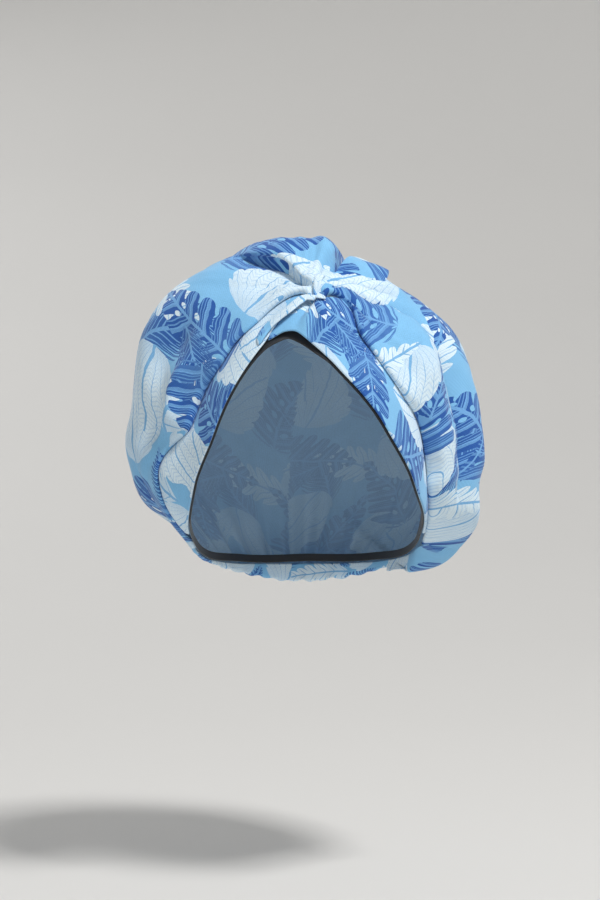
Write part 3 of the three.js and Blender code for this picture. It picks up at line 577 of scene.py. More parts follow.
# How a leaf is drawn, from its length along x and its width along y
LEAF_DRAWING = [
    ("middle", "SUBTRACT", "x", 0.5),
    ("middle2", "MULTIPLY", "middle", "middle"),
    ("bent", "MULTIPLY", "middle2", "bend"),
    ("y", "ADD", "y", "bent"),
    ("side", "ABSOLUTE", "y"),
    ("inside", "COMPARE", "x", 0.5, 0.497),
    ("x0", "MAXIMUM", "x", 0.0),
    ("bowed", "POWER", "x0", "bow"),
    ("arc", "MULTIPLY", "bowed", np.pi),
    ("arch", "SINE", "arc"),
    ("half", "MULTIPLY", "arch", "width"),
    ("half", "MAXIMUM", "half", 0.001),
    ("reach", "DIVIDE", "side", "half"),
    # the side ribs: gap is 0 in the middle of a finger and 1 between two
    ("slanted", "MULTIPLY", "side", "slant"),
    ("from_stalk", "ADD", "x0", 0.06),
    ("angle", "ARCTAN2", "side", "from_stalk"),
    ("at_rib", "MULTIPLY", "x", "on"),
    ("at_rib", "SUBTRACT", "at_rib", "slanted"),
    ("at_rib", "MULTIPLY_ADD", "angle", "fan", "at_rib"),
    ("rib", "MULTIPLY", "at_rib", "ribs"),
    ("in_rib", "FRACT", "rib"),
    ("off_rib", "SUBTRACT", "in_rib", 0.5),
    ("off_rib", "ABSOLUTE", "off_rib"),
    ("gap", "MULTIPLY", "off_rib", 2.0),
    # a scalloped edge
    ("gap2", "POWER", "gap", 2.5),
    ("scallop", "MULTIPLY", "gap2", "lobe"),
    ("limit", "SUBTRACT", 1.0, "scallop"),
    ("blade", "LESS_THAN", "reach", "limit"),
    # slots between the fingers
    ("past", "SUBTRACT", "reach", "cut_from"),
    ("past", "MAXIMUM", "past", 0.0),
    ("past", "POWER", "past", 0.7),
    ("slot", "MULTIPLY", "past", "cut_wide"),
    ("wall", "SUBTRACT", 1.0, "slot"),
    ("finger", "LESS_THAN", "gap", "wall"),
    # holes beside the midrib
    ("hole_x", "SUBTRACT", 1.0, "gap"),
    ("hole_x", "MULTIPLY", "hole_x", 3.2),
    ("hole_x", "MULTIPLY", "hole_x", "hole_x"),
    ("hole_y", "SUBTRACT", "reach", "hole"),
    ("hole_y", "MULTIPLY", "hole_y", 9.0),
    ("hole_y", "MULTIPLY", "hole_y", "hole_y"),
    ("hole_r", "ADD", "hole_x", "hole_y"),
    ("solid", "GREATER_THAN", "hole_r", 1.0),
    ("leaf", "MULTIPLY", "inside", "blade"),
    ("leaf", "MULTIPLY", "leaf", "finger"),
    ("leaf", "MULTIPLY", "leaf", "solid"),
    # veins and engraved hatching
    ("vein_wide", "MULTIPLY", "reach", "vein"),
    ("vein_wide", "SUBTRACT", "vein", "vein_wide"),
    ("vein_wide", "ADD", "vein_wide", 0.03),
    ("on_vein", "LESS_THAN", "gap", "vein_wide"),
    ("on_midrib", "LESS_THAN", "side", 0.012),
    ("across", "MULTIPLY_ADD", "x", "cross", "gap"),
    ("hatching", "MULTIPLY_ADD", "rib", "hatch", "across"),
    ("hatching", "FRACT", "hatching"),
    ("hatching", "GREATER_THAN", "hatching", 0.66),
    ("hatching", "MULTIPLY", "hatching", "etch"),
    # a wash of the line colour near the stalk
    ("wash", "SUBTRACT", 0.4, "x"),
    ("wash", "MULTIPLY", "wash", 0.9),
    ("line", "MAXIMUM", "on_vein", "on_midrib"),
    ("line", "MAXIMUM", "line", "hatching"),
    ("line", "MAXIMUM", "line", "wash"),
]


def leaf_group():
    """The node group that prints one leaf over the colour under it."""
    tree = bpy.data.node_groups.new("printed leaf", "ShaderNodeTree")
    numbers = ["bend", *LEAF_NUMBERS]
    for name, kind in [("Under", "NodeSocketColor"), ("Place", "NodeSocketVector"),
                       ("Fill", "NodeSocketColor"), ("Lines", "NodeSocketColor"),
                       *((n, "NodeSocketFloat") for n in numbers)]:
        tree.interface.new_socket(name, in_out="INPUT", socket_type=kind)
    tree.interface.new_socket("Colour", in_out="OUTPUT", socket_type="NodeSocketColor")
    given = add_node(tree, "NodeGroupInput").outputs
    place_on = add_node(tree, "ShaderNodeSeparateXYZ", {0: given["Place"]}).outputs
    values = {n: given[n] for n in numbers}
    values.update(x=place_on["X"], y=place_on["Y"])
    values = calculate(tree, values, LEAF_DRAWING)
    inked = add_node(tree, "ShaderNodeMix", {0: values["line"], 6: given["Fill"], 7: given["Lines"]},
                     data_type="RGBA").outputs[2]
    colour_out = add_node(tree, "ShaderNodeMix", {0: values["leaf"], 6: given["Under"], 7: inked},
                          data_type="RGBA").outputs[2]
    add_node(tree, "NodeGroupOutput", {0: colour_out})
    return tree


def new_material(name):
    material = bpy.data.materials.new(name)
    material.use_nodes = True
    material.node_tree.nodes.clear()
    return material, material.node_tree


def surfaced(tree, look):
    """Ends a material with its surface."""
    surface = add_node(tree, "ShaderNodeBsdfPrincipled", look)
    add_node(tree, "ShaderNodeOutputMaterial", {0: surface.outputs[0]})


WAVE_SPACING = 0.314  # how far apart a wave texture's bands lie at scale 1
# How many slubs, soft patches of shade and waverings of the ink come in a millimetre
SLUBS, PATCHES, CREEPS = 0.9, 0.12, 0.11
INK_CREEP = 2.6  # how wide the ink's wavering is, in millimetres from side to side
RELIEF = 0.25  # how high the threads stand, in millimetres
INK_THROUGH = 0.3  # how much of the print shows on the reverse


def woven_cloth(tree, cloth_at, colour_socket, thread):
    """Plain woven cotton: its threads, its slight mottling and its soft matt surface. Real threads
    lie some 0.35 mm apart, too fine to show, so they are drawn wider apart than that."""
    fine = add_node(tree, "ShaderNodeTexNoise", {"Vector": cloth_at, "Scale": SLUBS, "Detail": 2.0})
    waves = [add_node(tree, "ShaderNodeTexWave",
                      {"Vector": cloth_at, "Scale": WAVE_SPACING / thread, "Distortion": 1.2,
                       "Detail": 1.0, "Detail Scale": 2.0}, bands_direction=way) for way in "XY"]
    broad = add_node(tree, "ShaderNodeTexNoise", {"Vector": cloth_at, "Scale": PATCHES, "Detail": 3.0})
    parts = zip(("warp", "weft", "fine", "broad"), (*waves, fine, broad))
    values = calculate(tree, {name: part.outputs["Fac"] for name, part in parts}, [
        ("threads", "MULTIPLY", "warp", "weft"),
        ("threads", "MULTIPLY", "threads", 0.6),
        ("height", "ADD", "threads", "fine"),
        ("mottle", "MULTIPLY_ADD", "broad", 0.5, "height"),
        ("shade", "MULTIPLY_ADD", "mottle", 0.2, 0.8),
    ])
    shaded = add_node(tree, "ShaderNodeMix", {0: 1.0, 6: colour_socket, 7: values["shade"]},
                      data_type="RGBA", blend_type="MULTIPLY").outputs[2]
    bump = add_node(tree, "ShaderNodeBump", {"Height": values["height"], "Strength": 0.5,
                                             "Distance": RELIEF * MM})
    surfaced(tree, {"Base Color": shaded, "Normal": bump.outputs[0], "Roughness": 0.86,
                    "Specular IOR Level": 0.3, "Sheen Weight": 0.18, "Sheen Roughness": 0.5})


def leaf_print(tree, cloth_at, sizes, colours):
    """The printed colour at a place on the cloth."""
    # ink creeps along the threads, so each motif's edge wanders by about a millimetre
    creep = add_node(tree, "ShaderNodeTexNoise", {"Vector": cloth_at, "Scale": CREEPS, "Detail": 2.0})
    creep = add_node(tree, "ShaderNodeVectorMath", {0: creep.outputs["Color"], 1: (0.5, 0.5, 0.5)},
                     operation="SUBTRACT").outputs[0]
    inked_at = add_node(tree, "ShaderNodeVectorMath",
                        {0: creep, 1: (INK_CREEP, INK_CREEP, 0.0), 2: cloth_at},
                        operation="MULTIPLY_ADD").outputs[0]
    repeat = np.array([mm(sizes.repeat_width), mm(sizes.repeat_height), 2.0])
    group = bpy.data.node_groups.get("printed leaf") or leaf_group()
    tones = {"dark": (colours.dark_leaf, colours.dark_line),
             "pale": (colours.pale_leaf, colours.pale_line)}
    under = tuple(colours.ground)
    for kind, tone, x, y, pointing, length, bend in REPEAT:
        way = np.radians(pointing)
        centre = np.array([x, y, 0]) * repeat
        out = np.array([np.cos(way), np.sin(way), 0]) * length / 2
        away = add_node(tree, "ShaderNodeVectorMath", {0: inked_at, 1: tuple(centre + out)},
                        operation="SUBTRACT").outputs[0]
        wrapped = add_node(tree, "ShaderNodeVectorMath",
                           {0: away, 1: tuple(repeat / 2), 2: tuple(-repeat / 2)},
                           operation="WRAP").outputs[0]
        # a texture mapping undoes the leaf's place, turn and size, so its stalk is moved to 0
        local = add_node(tree, "ShaderNodeMapping", {
            "Vector": wrapped, "Location": tuple(-out), "Rotation": (0, 0, way),
            "Scale": (length, length, 1)}, vector_type="TEXTURE")
        fill, lines = tones[tone]
        under = add_node(tree, "ShaderNodeGroup", {
            "Under": under, "Place": local.outputs[0], "Fill": tuple(fill), "Lines": tuple(lines),
            "bend": bend, **LEAF_KINDS[kind]}, node_tree=group).outputs[0]
    return under


def printed_cotton(sizes, colours):
    """Cotton sheeting, plain woven and printed with pigment on one side: matt, a little uneven in
    its colour where threads take more or less ink, and soft at the edges of its motifs."""
    material, tree = new_material("printed_cotton_plain_weave")
    cloth_at = add_node(tree, "ShaderNodeUVMap", uv_map="cloth_mm").outputs[0]
    woven_cloth(tree, cloth_at, leaf_print(tree, cloth_at, sizes, colours), mm(sizes.thread))
    return material


def cotton_reverse(sizes, colours):
    """The same cotton's unprinted side, paler, where the ink only shows through."""
    material, tree = new_material("printed_cotton_reverse")
    cloth_at = add_node(tree, "ShaderNodeUVMap", uv_map="cloth_mm").outputs[0]
    shown = add_node(tree, "ShaderNodeMix", {
        0: 1 - INK_THROUGH, 6: leaf_print(tree, cloth_at, sizes, colours), 7: tuple(colours.reverse)},
        data_type="RGBA").outputs[2]
    woven_cloth(tree, cloth_at, shown, mm(sizes.thread))
    return material


def satin_tape(sizes, colours):
    """Polyester satin tape, woven with long floats: dark, with a low soft gloss."""
    material, tree = new_material("satin_tape_woven")
    surfaced(tree, {"Base Color": tuple(colours.binding), "Roughness": 0.55, "Sheen Weight": 0.2})
    return material


COTTON = {"printed_cotton_plain_weave": printed_cotton, "printed_cotton_reverse": cotton_reverse}
TAPE = {"satin_tape_woven": satin_tape}


def settings():
    scene = bpy.context.scene
    return scene.turban_sizes, scene.turban_colours


def dress(piece, node, tape=False):
    """Gives a piece its materials and its node."""
    for name, make in (TAPE if tape else COTTON).items():
        piece.data.materials.append(bpy.data.materials.get(name) or make(*settings()))
    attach(piece, "root")
    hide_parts(node)


CROWN_COLUMNS, CROWN_ROWS, CROWN_BENDS = 272, 148, 9
TUCK = 0.8  # degrees that the hem's turned edge goes on past the hem
CROWN_CLOTH = 0.9  # thickness of the crown's cloth, thin enough to crease
CROWN_TOP = 0.9  # degrees from the twist at which the crown's cloth starts, under the knot
CROWN_SINKS = 6  # how far that start is sunk into the twist, in millimetres
ROWS_TO_TWIST = 1.15  # above 1 the crown's rows lie closer together towards the twist
# Small wrinkles and the broad folds of the back, in layers of noise: strength, how wide and how
# tall in degrees of turn and tilt, and seed
WRINKLES = [(1, 9, 34, 1.7), (0.7, 4.5, 20, 5.1), (0.3, 2.6, 9, 8.3)]
DRAPE = [(1, 10, 75, 12.4), (0.5, 5, 40, 3.9)]


def layered(layers, turn, tilt):
    return sum(strong * ripple(turn / wide, tilt / tall, seed) for strong, wide, tall, seed in layers)


def hem_tilts(share):
    """The hem's tilt at each share of the way round. It is found in steps, because the turn at a
    share depends on the tilt, and the hem's tilt on the turn."""
    tilt = np.full_like(share, 120.0)
    for _ in range(12):
        tilt = mix(tilt, along(HEM, "turn", "tilt", mix(*edge_turns(tilt), share)), 0.6)
    return tilt


def turned_under(down):
    """How far the crown's cloth has turned under at the nape, up to half a turn in radians."""
    return np.maximum(0, (down - POUCH_FROM) / (1 - POUCH_FROM)) * np.pi


def flat_places(share, down):
    """Turns and tilts of the crown's cloth, by its share of the way round and down."""
    hem = hem_tilts(share)
    under = turned_under(down)
    sag = (POUCH_SAG * DEGREES_PER_MM * crown_lift(mix(*edge_turns(hem), share), hem)
           * smooth(14 * share) * smooth(6 * (1 - share)))
    tilt = mix(CROWN_TOP, hem, np.minimum(1, down / POUCH_FROM) ** ROWS_TO_TWIST)
    tilt = tilt + sag * np.sin(under) + TUCK * under / np.pi
    return mix(*edge_turns(tilt), share), tilt


def crowded_shares(down):
    """The share of the way round of each column, closer together where folds bend the cloth."""
    even = np.broadcast_to(steps(CROWN_COLUMNS), (CROWN_ROWS + 1, CROWN_COLUMNS + 1))
    crowd = np.cumsum(crowding(*flat_places(even, down)), axis=1)
    crowd = (crowd - crowd[:, :1]) / (crowd[:, -1:] - crowd[:, :1])
    share = np.array([np.interp(steps(CROWN_COLUMNS), row, steps(CROWN_COLUMNS)) for row in crowd])
    return np.pad(share, ((0, 0), (CROWN_BENDS, CROWN_BENDS)), mode="edge")


def crown_grid(sizes):
    """The crown's outer face, its turns and its tilts, a column for each step round it."""
    bends = steps(CROWN_BENDS)[1:]
    bend = np.concatenate([bends[::-1], np.zeros(CROWN_COLUMNS + 1), bends]) * np.pi
    down = steps(CROWN_ROWS)[:, None]
    share = crowded_shares(down)
    _, tilt = flat_places(share, down)
    right_turn, left_turn = edge_turns(tilt)
    span = left_turn - right_turn
    left_radius = np.minimum(mm(sizes.left_roll) * turn_per_mm(tilt), span / 9)
    right_radius = np.minimum(mm(sizes.right_roll) * turn_per_mm(tilt), span / 12)
    flat = mix(right_turn + right_radius, left_turn - left_radius, share)
    turn = flat + np.where(share > 0.5, left_radius, -right_radius) * np.sin(bend)
    right, left = from_edges(turn, tilt)
    inward = np.minimum(left, right)
    height, lean = fold_heights(turn, tilt)
    height = height * smooth(np.minimum(left / mm(sizes.left_roll), right / mm(sizes.right_roll)) / 1.5)
    wrinkles = mm(sizes.wrinkle) * layered(WRINKLES, turn, tilt)
    drape = mm(sizes.drape) * layered(DRAPE, turn, tilt)
    height = height + wrinkles * ramp(inward, 0, 18) * ramp(tilt, 6, 18)
    height = height + drape * ramp(inward, 25, 80) * ramp(tilt, 26, 56)
    floor = crown_floor(turn, tilt)
    opened = np.maximum(floor, crown_lift(turn, tilt) + height)
    lift = mix(floor, opened, 0.5 + 0.5 * np.cos(turned_under(down)))
    lift = mix(lift, floor - CROWN_WALL, (1 - np.cos(bend)) / 2)
    lift = lift - CROWN_SINKS * ramp(tilt, TWIST_START, CROWN_TOP)
    turn = turn + lean * turn_per_mm(tilt)
    return place(turn, tilt, lift), turn, tilt


# The crown's print is laid in two halves, so that it runs true on both sides. They meet on a line
# that leaves the twist in the drop beside the lump and runs over the back to the nape
BACK_SEAM = table("tilt turn", [(0, 150), (24, 152), (44, 158), (70, 170), (100, 178), (150, 180)])
# Each half's centre, as a turn and a tilt, and how its print is turned there, in radians
HALVES = ((98, 62), -0.5), ((248, 62), 0.35)


def half_chart(points, centre, turned):
    """Millimetres on flat cloth that lies on the crown at a half's centre."""
    axis = ray(*centre)
    d = points - MIDDLE
    far = np.linalg.norm(d, axis=-1)
    d = unit(d)
    angle = np.arccos(np.clip(d @ axis, -1, 1))
    up = unit(np.array([0, 0, 1]) - axis * axis[2])
    right = np.cross(up, axis)
    a = np.arctan2(d @ up, d @ right) + turned
    reach = angle * (far + CROWN_REACH) / 2
    return np.stack([reach * np.cos(a), reach * np.sin(a)], -1)


class TURBAN_OT_crown(bpy.types.Operator):
    """Builds the puffed crown, gathered at the twist and turned under at the nape"""
    bl_idname = "turban.crown"
    bl_label = "Crown"

    def execute(self, context):
        sizes, _ = settings()
        grid, turn, tilt = crown_grid(sizes)
        outward = unit(grid - MIDDLE)
        rings = cloth(grid - outward * CROWN_CLOTH / 2, np.full(grid.shape[:2], CROWN_CLOTH), outward)
        charts = [half_chart(rings, centre, turned) for centre, turned in HALVES]
        left = turn > along(BACK_SEAM, "tilt", "turn", tilt)
        piece = ring_mesh("crown", rings, charts, chart=both_faces(left).astype(int), reverse=True)
        dress(piece, "crown_bag")
        return {"FINISHED"}


def band_grid(rows, layer, shares, across):
    """A band's directions, their turns and tilts and the lift of its outer face there."""
    edge = ray(in_order(rows, "edge_turn", shares), in_order(rows, "edge_tilt", shares))
    inner = ray(in_order(rows, "inner_turn", shares), in_order(rows, "inner_tilt", shares))
    d = unit(mix(edge[:, None], inner[:, None], across[None, :, None]))
    turn, tilt = angles(d)
    return d, turn, tilt, band_top(turn, tilt, layer)


BAND_LENGTH, BAND_WIDTH = 300, 30  # roughly, for the rounding of its rims
BAND_STEPS = 180, 40  # along and across
PLEATS_ROUND_TWIST, PLEAT_HEIGHT = 11, 0.9  # the right band's pleats, which fan out of the twist
BAND_PUFF, BAND_WAVES = 0.8, 0.5  # how high the bands swell between their rims, and how unevenly


class TURBAN_OT_bands(bpy.types.Operator):
    """Builds the two bands that cross under the twist and run down beside the opening"""
    bl_idname = "turban.bands"
    bl_label = "Bands"

    def execute(self, context):
        for node, rows, layer, print_at, cut in (
                ("left_band", LEFT_BAND, 1, (40, 118), (0.028, 0.23)),
                ("right_band", RIGHT_BAND, 0, (128, 20), (0.03, 0.25))):
            shares = steps(BAND_STEPS[0])
            across = rim_steps(BAND_STEPS[1], BAND_WIDTH, BAND_WALL)
            swell = np.sin(np.pi * across)[None, :]
            d, turn, tilt, top = band_grid(rows, layer, shares, across)
            soft = BAND_WAVES * ripple(shares[:, None] * 9, across[None, :] * 2.2, 3.0 + layer)
            soft = soft + BAND_PUFF * swell * ramp(tilt, 8, 22)
            if node == "right_band":
                fan = ramp(tilt, 2, 6) * ramp(tilt, 20, 8)
                soft = soft + PLEAT_HEIGHT * fan * np.sin(np.radians(turn) * PLEATS_ROUND_TWIST)
            wall = BAND_WALL * rounded(shares, across, BAND_WIDTH, BAND_LENGTH, BAND_WALL)
            grid = lifted(d, top - BAND_WALL / 2 + soft * swell)
            piece = sheet_mesh(node.replace("band", "wrap"), grid, wall, d, print_at, reverse=True)
            dress(piece, node)
        return {"FINISHED"}


GROOVE_WIDTH = 0.3  # in half widths of the roll


def tube(centres, out, half_width, half_height, sides, groove):
    """A flattened roll along centres, with a groove along the middle of its top that is a share of
    its height deep."""
    ahead = unit(np.gradient(centres, axis=0))
    side = unit(np.cross(ahead, out))
    a = steps(sides)[1:] * 2 * np.pi
    tall = np.sin(a) * (1 - groove * np.exp(-(np.cos(a) / GROOVE_WIDTH) ** 2) * (np.sin(a) > 0))
    return (centres[:, None] + side[:, None] * (half_width[:, None] * np.cos(a))[..., None]
            + out[:, None] * (half_height[:, None] * tall)[..., None])


HEM_STANDS = 0.8  # how far the rolled hem stands off the band, so that a shadow runs under it
HEM_GROOVE, HEM_STEPS, HEM_SIDES = 0.25, 90, 32


class TURBAN_OT_hem_roll(bpy.types.Operator):
    """Builds the rolled hem of the left band where it comes out of the twist"""
    bl_idname = "turban.hem_roll"
    bl_label = "Hem roll"

    def execute(self, context):
        sizes, _ = settings()
        share = steps(HEM_STEPS)
        stations = dict(zip("xyz", ray(HEM_ROLL["turn"], HEM_ROLL["tilt"]).T))
        d = unit(np.stack([in_order(stations, axis, share) for axis in "xyz"], -1))
        turn, tilt = angles(d)
        round_ends = np.sqrt(np.clip(1 - (2 * share - 1) ** 24, 0.01, 1))
        full = in_order(HEM_ROLL, "full", share) * round_ends
        wide, thick = mm(sizes.hem_roll_width) / 2 * full, mm(sizes.hem_roll_thickness) / 2 * full
        over = np.maximum(band_top(turn, tilt, 1), band_top(turn, tilt, 0))
        rings = tube(lifted(d, over + thick + HEM_STANDS), d, wide, thick, HEM_SIDES, HEM_GROOVE)
        piece = ring_mesh("rolled_hem", rings, laid_flat(rings, print_at=(-1, 108)))
        dress(piece, "hem_roll")
        return {"FINISHED"}


TWIST_REACH = 140.0  # from the middle to the cloth over the twist
# The fold over the twist: millimetres right of the twist and above it at its two ends, how far it
# bows to the left between them, and how deep its ends go in under the folds
STRAP_FROM, STRAP_TO, STRAP_BOW, STRAP_DIVES = (5.5, 24.0), (0.4, -0.5), 1.0, (3.0, 5.0)
STRAP_NARROWS = 0.5  # the share of its width that it loses on its way down
STRAP_STANDS = 0.4  # how far its middle stands off the crown, in half thicknesses
STRAP_GROOVE, STRAP_STEPS, STRAP_SIDES = 0.15, 90, 48


def beside_twist(right, up):
    """The direction so many millimetres to the right of the twist and above it."""
    return unit(TWIST + (right / TWIST_REACH)[..., None] * BESIDE - (up / TWIST_REACH)[..., None] * BELOW)


class TURBAN_OT_knot(bpy.types.Operator):
    """Builds the narrow fold of cloth that comes down over the twist and tucks in under it"""
    bl_idname = "turban.knot"
    bl_label = "Knot"

    def execute(self, context):
        sizes, _ = settings()
        share = steps(STRAP_STEPS)
        right = mix(STRAP_FROM[0], STRAP_TO[0], smooth(share)) - STRAP_BOW * np.sin(np.pi * share)
        d = beside_twist(right, mix(STRAP_FROM[1], STRAP_TO[1], share))
        turn, tilt = angles(d)
        height, _ = fold_heights(turn, tilt)
        below = np.maximum(crown_floor(turn, tilt), crown_lift(turn, tilt) + height)
        wide = mm(sizes.strap_width) / 2 * (1 - STRAP_NARROWS * smooth(1.2 * share))
        thick = mm(sizes.strap_thickness) / 2
        dive = STRAP_DIVES[0] * ramp(share, 0.5, 0) + STRAP_DIVES[1] * ramp(share, 0.7, 1)
        centres = lifted(d, below + STRAP_STANDS * thick - dive)
        rings = tube(centres, d, wide, np.full(len(share), thick), STRAP_SIDES, STRAP_GROOVE)
        rings[0], rings[-1] = centres[:1], centres[-1:]
        piece = ring_mesh("twist_bundle", rings, laid_flat(rings, print_at=(96, 40)))
        dress(piece, "knot")
        return {"FINISHED"}


FLAP_STANDS = 5.0  # how far the flap's upper side stands off the crown
FLAP_SUNK = 2.2  # how far its lower side and its start are sunk into the crown
FLAP_WAVES = 0.6  # how unevenly it lies
FLAP_LENGTH, FLAP_WIDTH = 40, 30
FLAP_STEPS = 70, 60


def flap_places(out, across):
    """The flap's turns and tilts, by the share of the way out and across."""
    sides = [in_order(FLAP, column, out)[:, None] for column in ("low", "high", "low_tilt", "high_tilt")]
    return mix(sides[0], sides[1], across[None, :]), mix(sides[2], sides[3], across[None, :])


class TURBAN_OT_corner_flap(bpy.types.Operator):
    """Builds the loose corner of the cloth's end, which lies on the crown"""
    bl_idname = "turban.corner_flap"
    bl_label = "Corner flap"

    def execute(self, context):
        sizes, _ = settings()
        thick = mm(sizes.flap_thickness)
        out = rim_steps(FLAP_STEPS[0], FLAP_LENGTH, thick)
        across = rim_steps(FLAP_STEPS[1], FLAP_WIDTH, thick)
        turn, tilt = flap_places(out, across)
        height, _ = fold_heights(turn, tilt)
        stands = mix(-FLAP_SUNK, FLAP_STANDS, smooth(1.7 * across)[None, :] * smooth(2.2 * out)[:, None])
        lift = crown_lift(turn, tilt) + np.maximum(0, height) + stands
        grid = place(turn, tilt, lift + FLAP_WAVES * ripple(turn / 9, tilt / 14, 9.0))
        wall = thick * rounded(out, across, FLAP_WIDTH, FLAP_LENGTH, thick)
        piece = sheet_mesh("loose_corner", grid, wall, ray(turn, tilt), print_at=(60, 150))
        dress(piece, "corner_flap")
        return {"FINISHED"}


BINDING_WIDTH, NAPE_WIDTH, BINDING_LIFT, BINDING_WALL = 14.0, 4.5, 0.5, 1.0
APEX_SHOWS = 1.6  # how much more of the facing shows at the opening's top
TAPE_WIDTH = 15.0  # its whole width, with what shows
BINDING_STEPS = 360, 16


def closed_curve(points, count):
    """Evenly spaced points on a smooth closed curve."""
    n = len(points)
    t = np.arange(count * 4) / (count * 4) * n
    i = t.astype(int)
    f = (t - i)[:, None]
    p0, p1, p2, p3 = (points[(i + k) % n] for k in (-1, 0, 1, 2))
    fine = 0.5 * (2 * p1 + (p2 - p0) * f + (2 * p0 - 5 * p1 + 4 * p2 - p3) * f ** 2
                  + (3 * p1 - p0 - 3 * p2 + p3) * f ** 3)
    length = np.concatenate([[0], np.cumsum(np.linalg.norm(np.roll(fine, -1, 0) - fine, axis=1))])
    at = np.arange(count) / count * length[-1]
    fine = np.concatenate([fine, fine[:1]])
    return np.stack([np.interp(at, length, fine[:, k]) for k in range(3)], -1)


class TURBAN_OT_edge_binding(bpy.types.Operator):
    """Builds the dark facing that shows as a thin line all round the opening"""
    bl_idname = "turban.edge_binding"
    bl_label = "Edge binding"

    def execute(self, context):
        sizes, _ = settings()
        left, right = (place(rows["edge_turn"], rows["edge_tilt"], BINDING_LIFT)
                       for rows in (LEFT_BAND, RIGHT_BAND))
        nape = place(HEM["turn"], HEM["tilt"], BINDING_LIFT)[HEM["tilt"] > 116]
        # down the left edge from below the crossing, round the nape and up the right edge
        points = closed_curve(np.concatenate([left[3:], nape[::-1], right[:0:-1]]), BINDING_STEPS[0])
        ahead = unit(np.roll(points, -1, 0) - np.roll(points, 1, 0))
        side = unit(np.cross(ahead, points - MIDDLE))
        across = rim_steps(BINDING_STEPS[1], BINDING_WIDTH, BINDING_WALL)
        _, tilt = angles(unit(points - MIDDLE))
        shows = mm(sizes.binding_show) * (1 + APEX_SHOWS * ramp(tilt, 20, 14))
        width = mix(BINDING_WIDTH, NAPE_WIDTH, ramp(tilt, 100, 120))
        reach = mix(-shows[:, None], width[:, None], across[None, :])
        d = unit(points[:, None] + side[:, None] * reach[..., None] - MIDDLE)
        grid = lifted(d, np.full(d.shape[:2], BINDING_LIFT + BINDING_WALL / 2))
        inside = np.full(len(points), 0.5)
        wall = BINDING_WALL * rounded(inside, across, TAPE_WIDTH, TAPE_WIDTH, BINDING_WALL)
        piece = sheet_mesh("dark_facing", grid, wall, d, looped=True)
        dress(piece, "edge_binding",
              tape=True)
        return {"FINISHED"}


CAMERA_AT = (-4.0, -1300.0, -100.3)
CAMERA_LENS = 78.8
FLOOR_AT = -396.0
# The floor's profile in metres: flat in the middle, and turned up all round like a bowl
BOWL = table("reach rise", [
    (0, 0), (0.4, 0), (0.9, 0), (1.5, 0.03), (2.1, 0.13), (2.7, 0.33), (3.2, 0.62), (3.6, 1.0),
    (3.9, 1.5), (4.1, 2.1), (4.2, 2.8), (4.22, 3.6)])
BOWL_SIDES = 96
# Square lamps, and where they point: name, place and width in metres, power in watts and tint
LAMPS = [
    ("key", (1.3, -1.8, 3.0), 0.7, 124, (1, 0.99, 0.975)),
    ("fill", (-2.4, -2.2, 0.6), 2.0, 5, (0.97, 0.985, 1)),
    ("back", (-1.4, 2.6, 2.2), 1.6, 30, (1, 1, 1))]
LAMPS_AIM = Vector((0, 0, -0.08))
STUDIO_LIGHT, STUDIO_STRENGTH = "eef0f2", 0.33


def add_floor(floor_colour):
    material, tree = new_material("studio_floor_painted")
    surfaced(tree, {"Base Color": tuple(floor_colour), "Roughness": 0.9})
    angle = steps(BOWL_SIDES)[1:] * 2 * np.pi
    reach, rise = BOWL["reach"][:, None], BOWL["rise"][:, None]
    points = np.stack([reach * np.cos(angle), reach * np.sin(angle),
                       FLOOR_AT * MM + rise + 0 * angle], -1).reshape(-1, 3)
    quads = ring_quads(len(BOWL["reach"]), BOWL_SIDES)[:, ::-1]
    mesh = bpy.data.meshes.new("floor")
    mesh.from_pydata(points.tolist(), [], quads.tolist())
    mesh.polygons.foreach_set("use_smooth", np.ones(len(quads), bool))
    mesh.materials.append(material)
    floor = bpy.data.objects.new("floor", mesh)
    bpy.context.scene.collection.objects.link(floor)


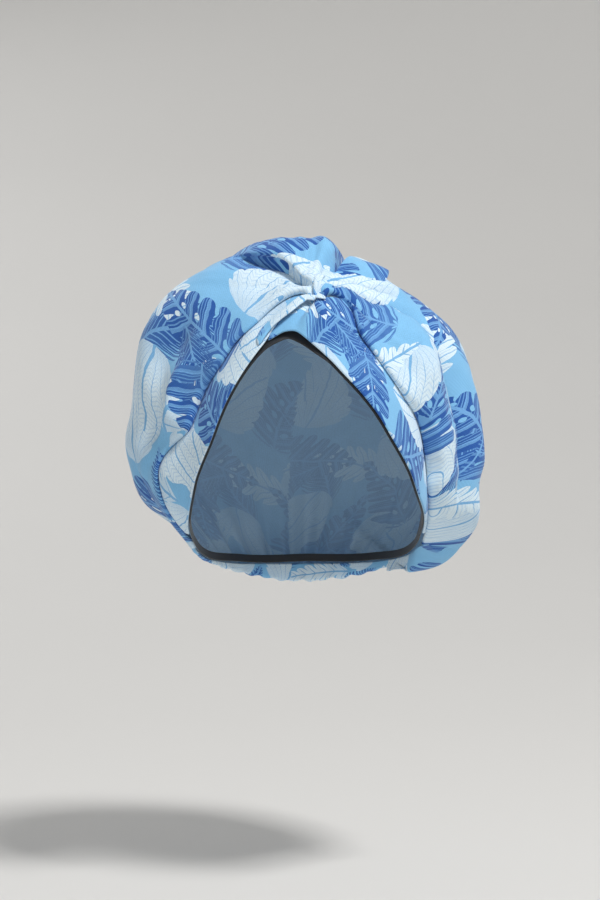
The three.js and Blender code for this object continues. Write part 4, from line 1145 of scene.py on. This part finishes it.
class TURBAN_OT_stage(bpy.types.Operator):
    """Builds the floor, the lights and the camera"""
    bl_idname = "turban.stage"
    bl_label = "Stage"

    def execute(self, context):
        scene = context.scene
        add_floor(scene.turban_colours.floor)
        for name, at, wide, power, tint in LAMPS:
            light = bpy.data.lights.new(name, "AREA")
            light.energy, light.size, light.color = power, wide, tint
            lamp = bpy.data.objects.new(name, light)
            lamp.location = at
            lamp.rotation_euler = (LAMPS_AIM - Vector(at)).to_track_quat("-Z", "Y").to_euler()
            scene.collection.objects.link(lamp)
        scene.world = bpy.data.worlds.new("studio")
        scene.world.use_nodes = True
        background = scene.world.node_tree.nodes["Background"].inputs
        background[0].default_value = linear(STUDIO_LIGHT)
        background[1].default_value = STUDIO_STRENGTH
        lens = bpy.data.cameras.new("camera")
        lens.lens = CAMERA_LENS
        camera = bpy.data.objects.new("camera", lens)
        camera.location = Vector(CAMERA_AT) * MM
        camera.rotation_euler = (np.pi / 2, 0, 0)
        scene.collection.objects.link(camera)
        scene.camera = camera
        scene.view_settings.view_transform = "Standard"
        return {"FINISHED"}


OPERATORS = (TURBAN_OT_crown, TURBAN_OT_bands, TURBAN_OT_hem_roll, TURBAN_OT_knot,
             TURBAN_OT_corner_flap, TURBAN_OT_edge_binding, TURBAN_OT_stage)


class TURBAN_PT_pieces(bpy.types.Panel):
    """Lists the turban's pieces, sizes and colours"""
    bl_idname = "TURBAN_PT_pieces"
    bl_label = "Turban"
    bl_space_type = "VIEW_3D"
    bl_region_type = "UI"
    bl_category = "Turban"

    def draw(self, context):
        for operator in OPERATORS:
            self.layout.operator(operator.bl_idname)
        for group in (context.scene.turban_sizes, context.scene.turban_colours):
            for name in group.__annotations__:
                self.layout.prop(group, name)


CLASSES = (TurbanSizes, TurbanColours, *OPERATORS, TURBAN_PT_pieces)


def register():
    for item in CLASSES:
        bpy.utils.register_class(item)
    bpy.types.Scene.turban_sizes = bpy.props.PointerProperty(type=TurbanSizes)
    bpy.types.Scene.turban_colours = bpy.props.PointerProperty(type=TurbanColours)


def unregister():
    del bpy.types.Scene.turban_sizes, bpy.types.Scene.turban_colours
    for item in reversed(CLASSES):
        bpy.utils.unregister_class(item)


def main():
    register()
    for operator in OPERATORS:
        group, name = operator.bl_idname.split(".")
        getattr(getattr(bpy.ops, group), name)()


if __name__ == "__main__":
    main()
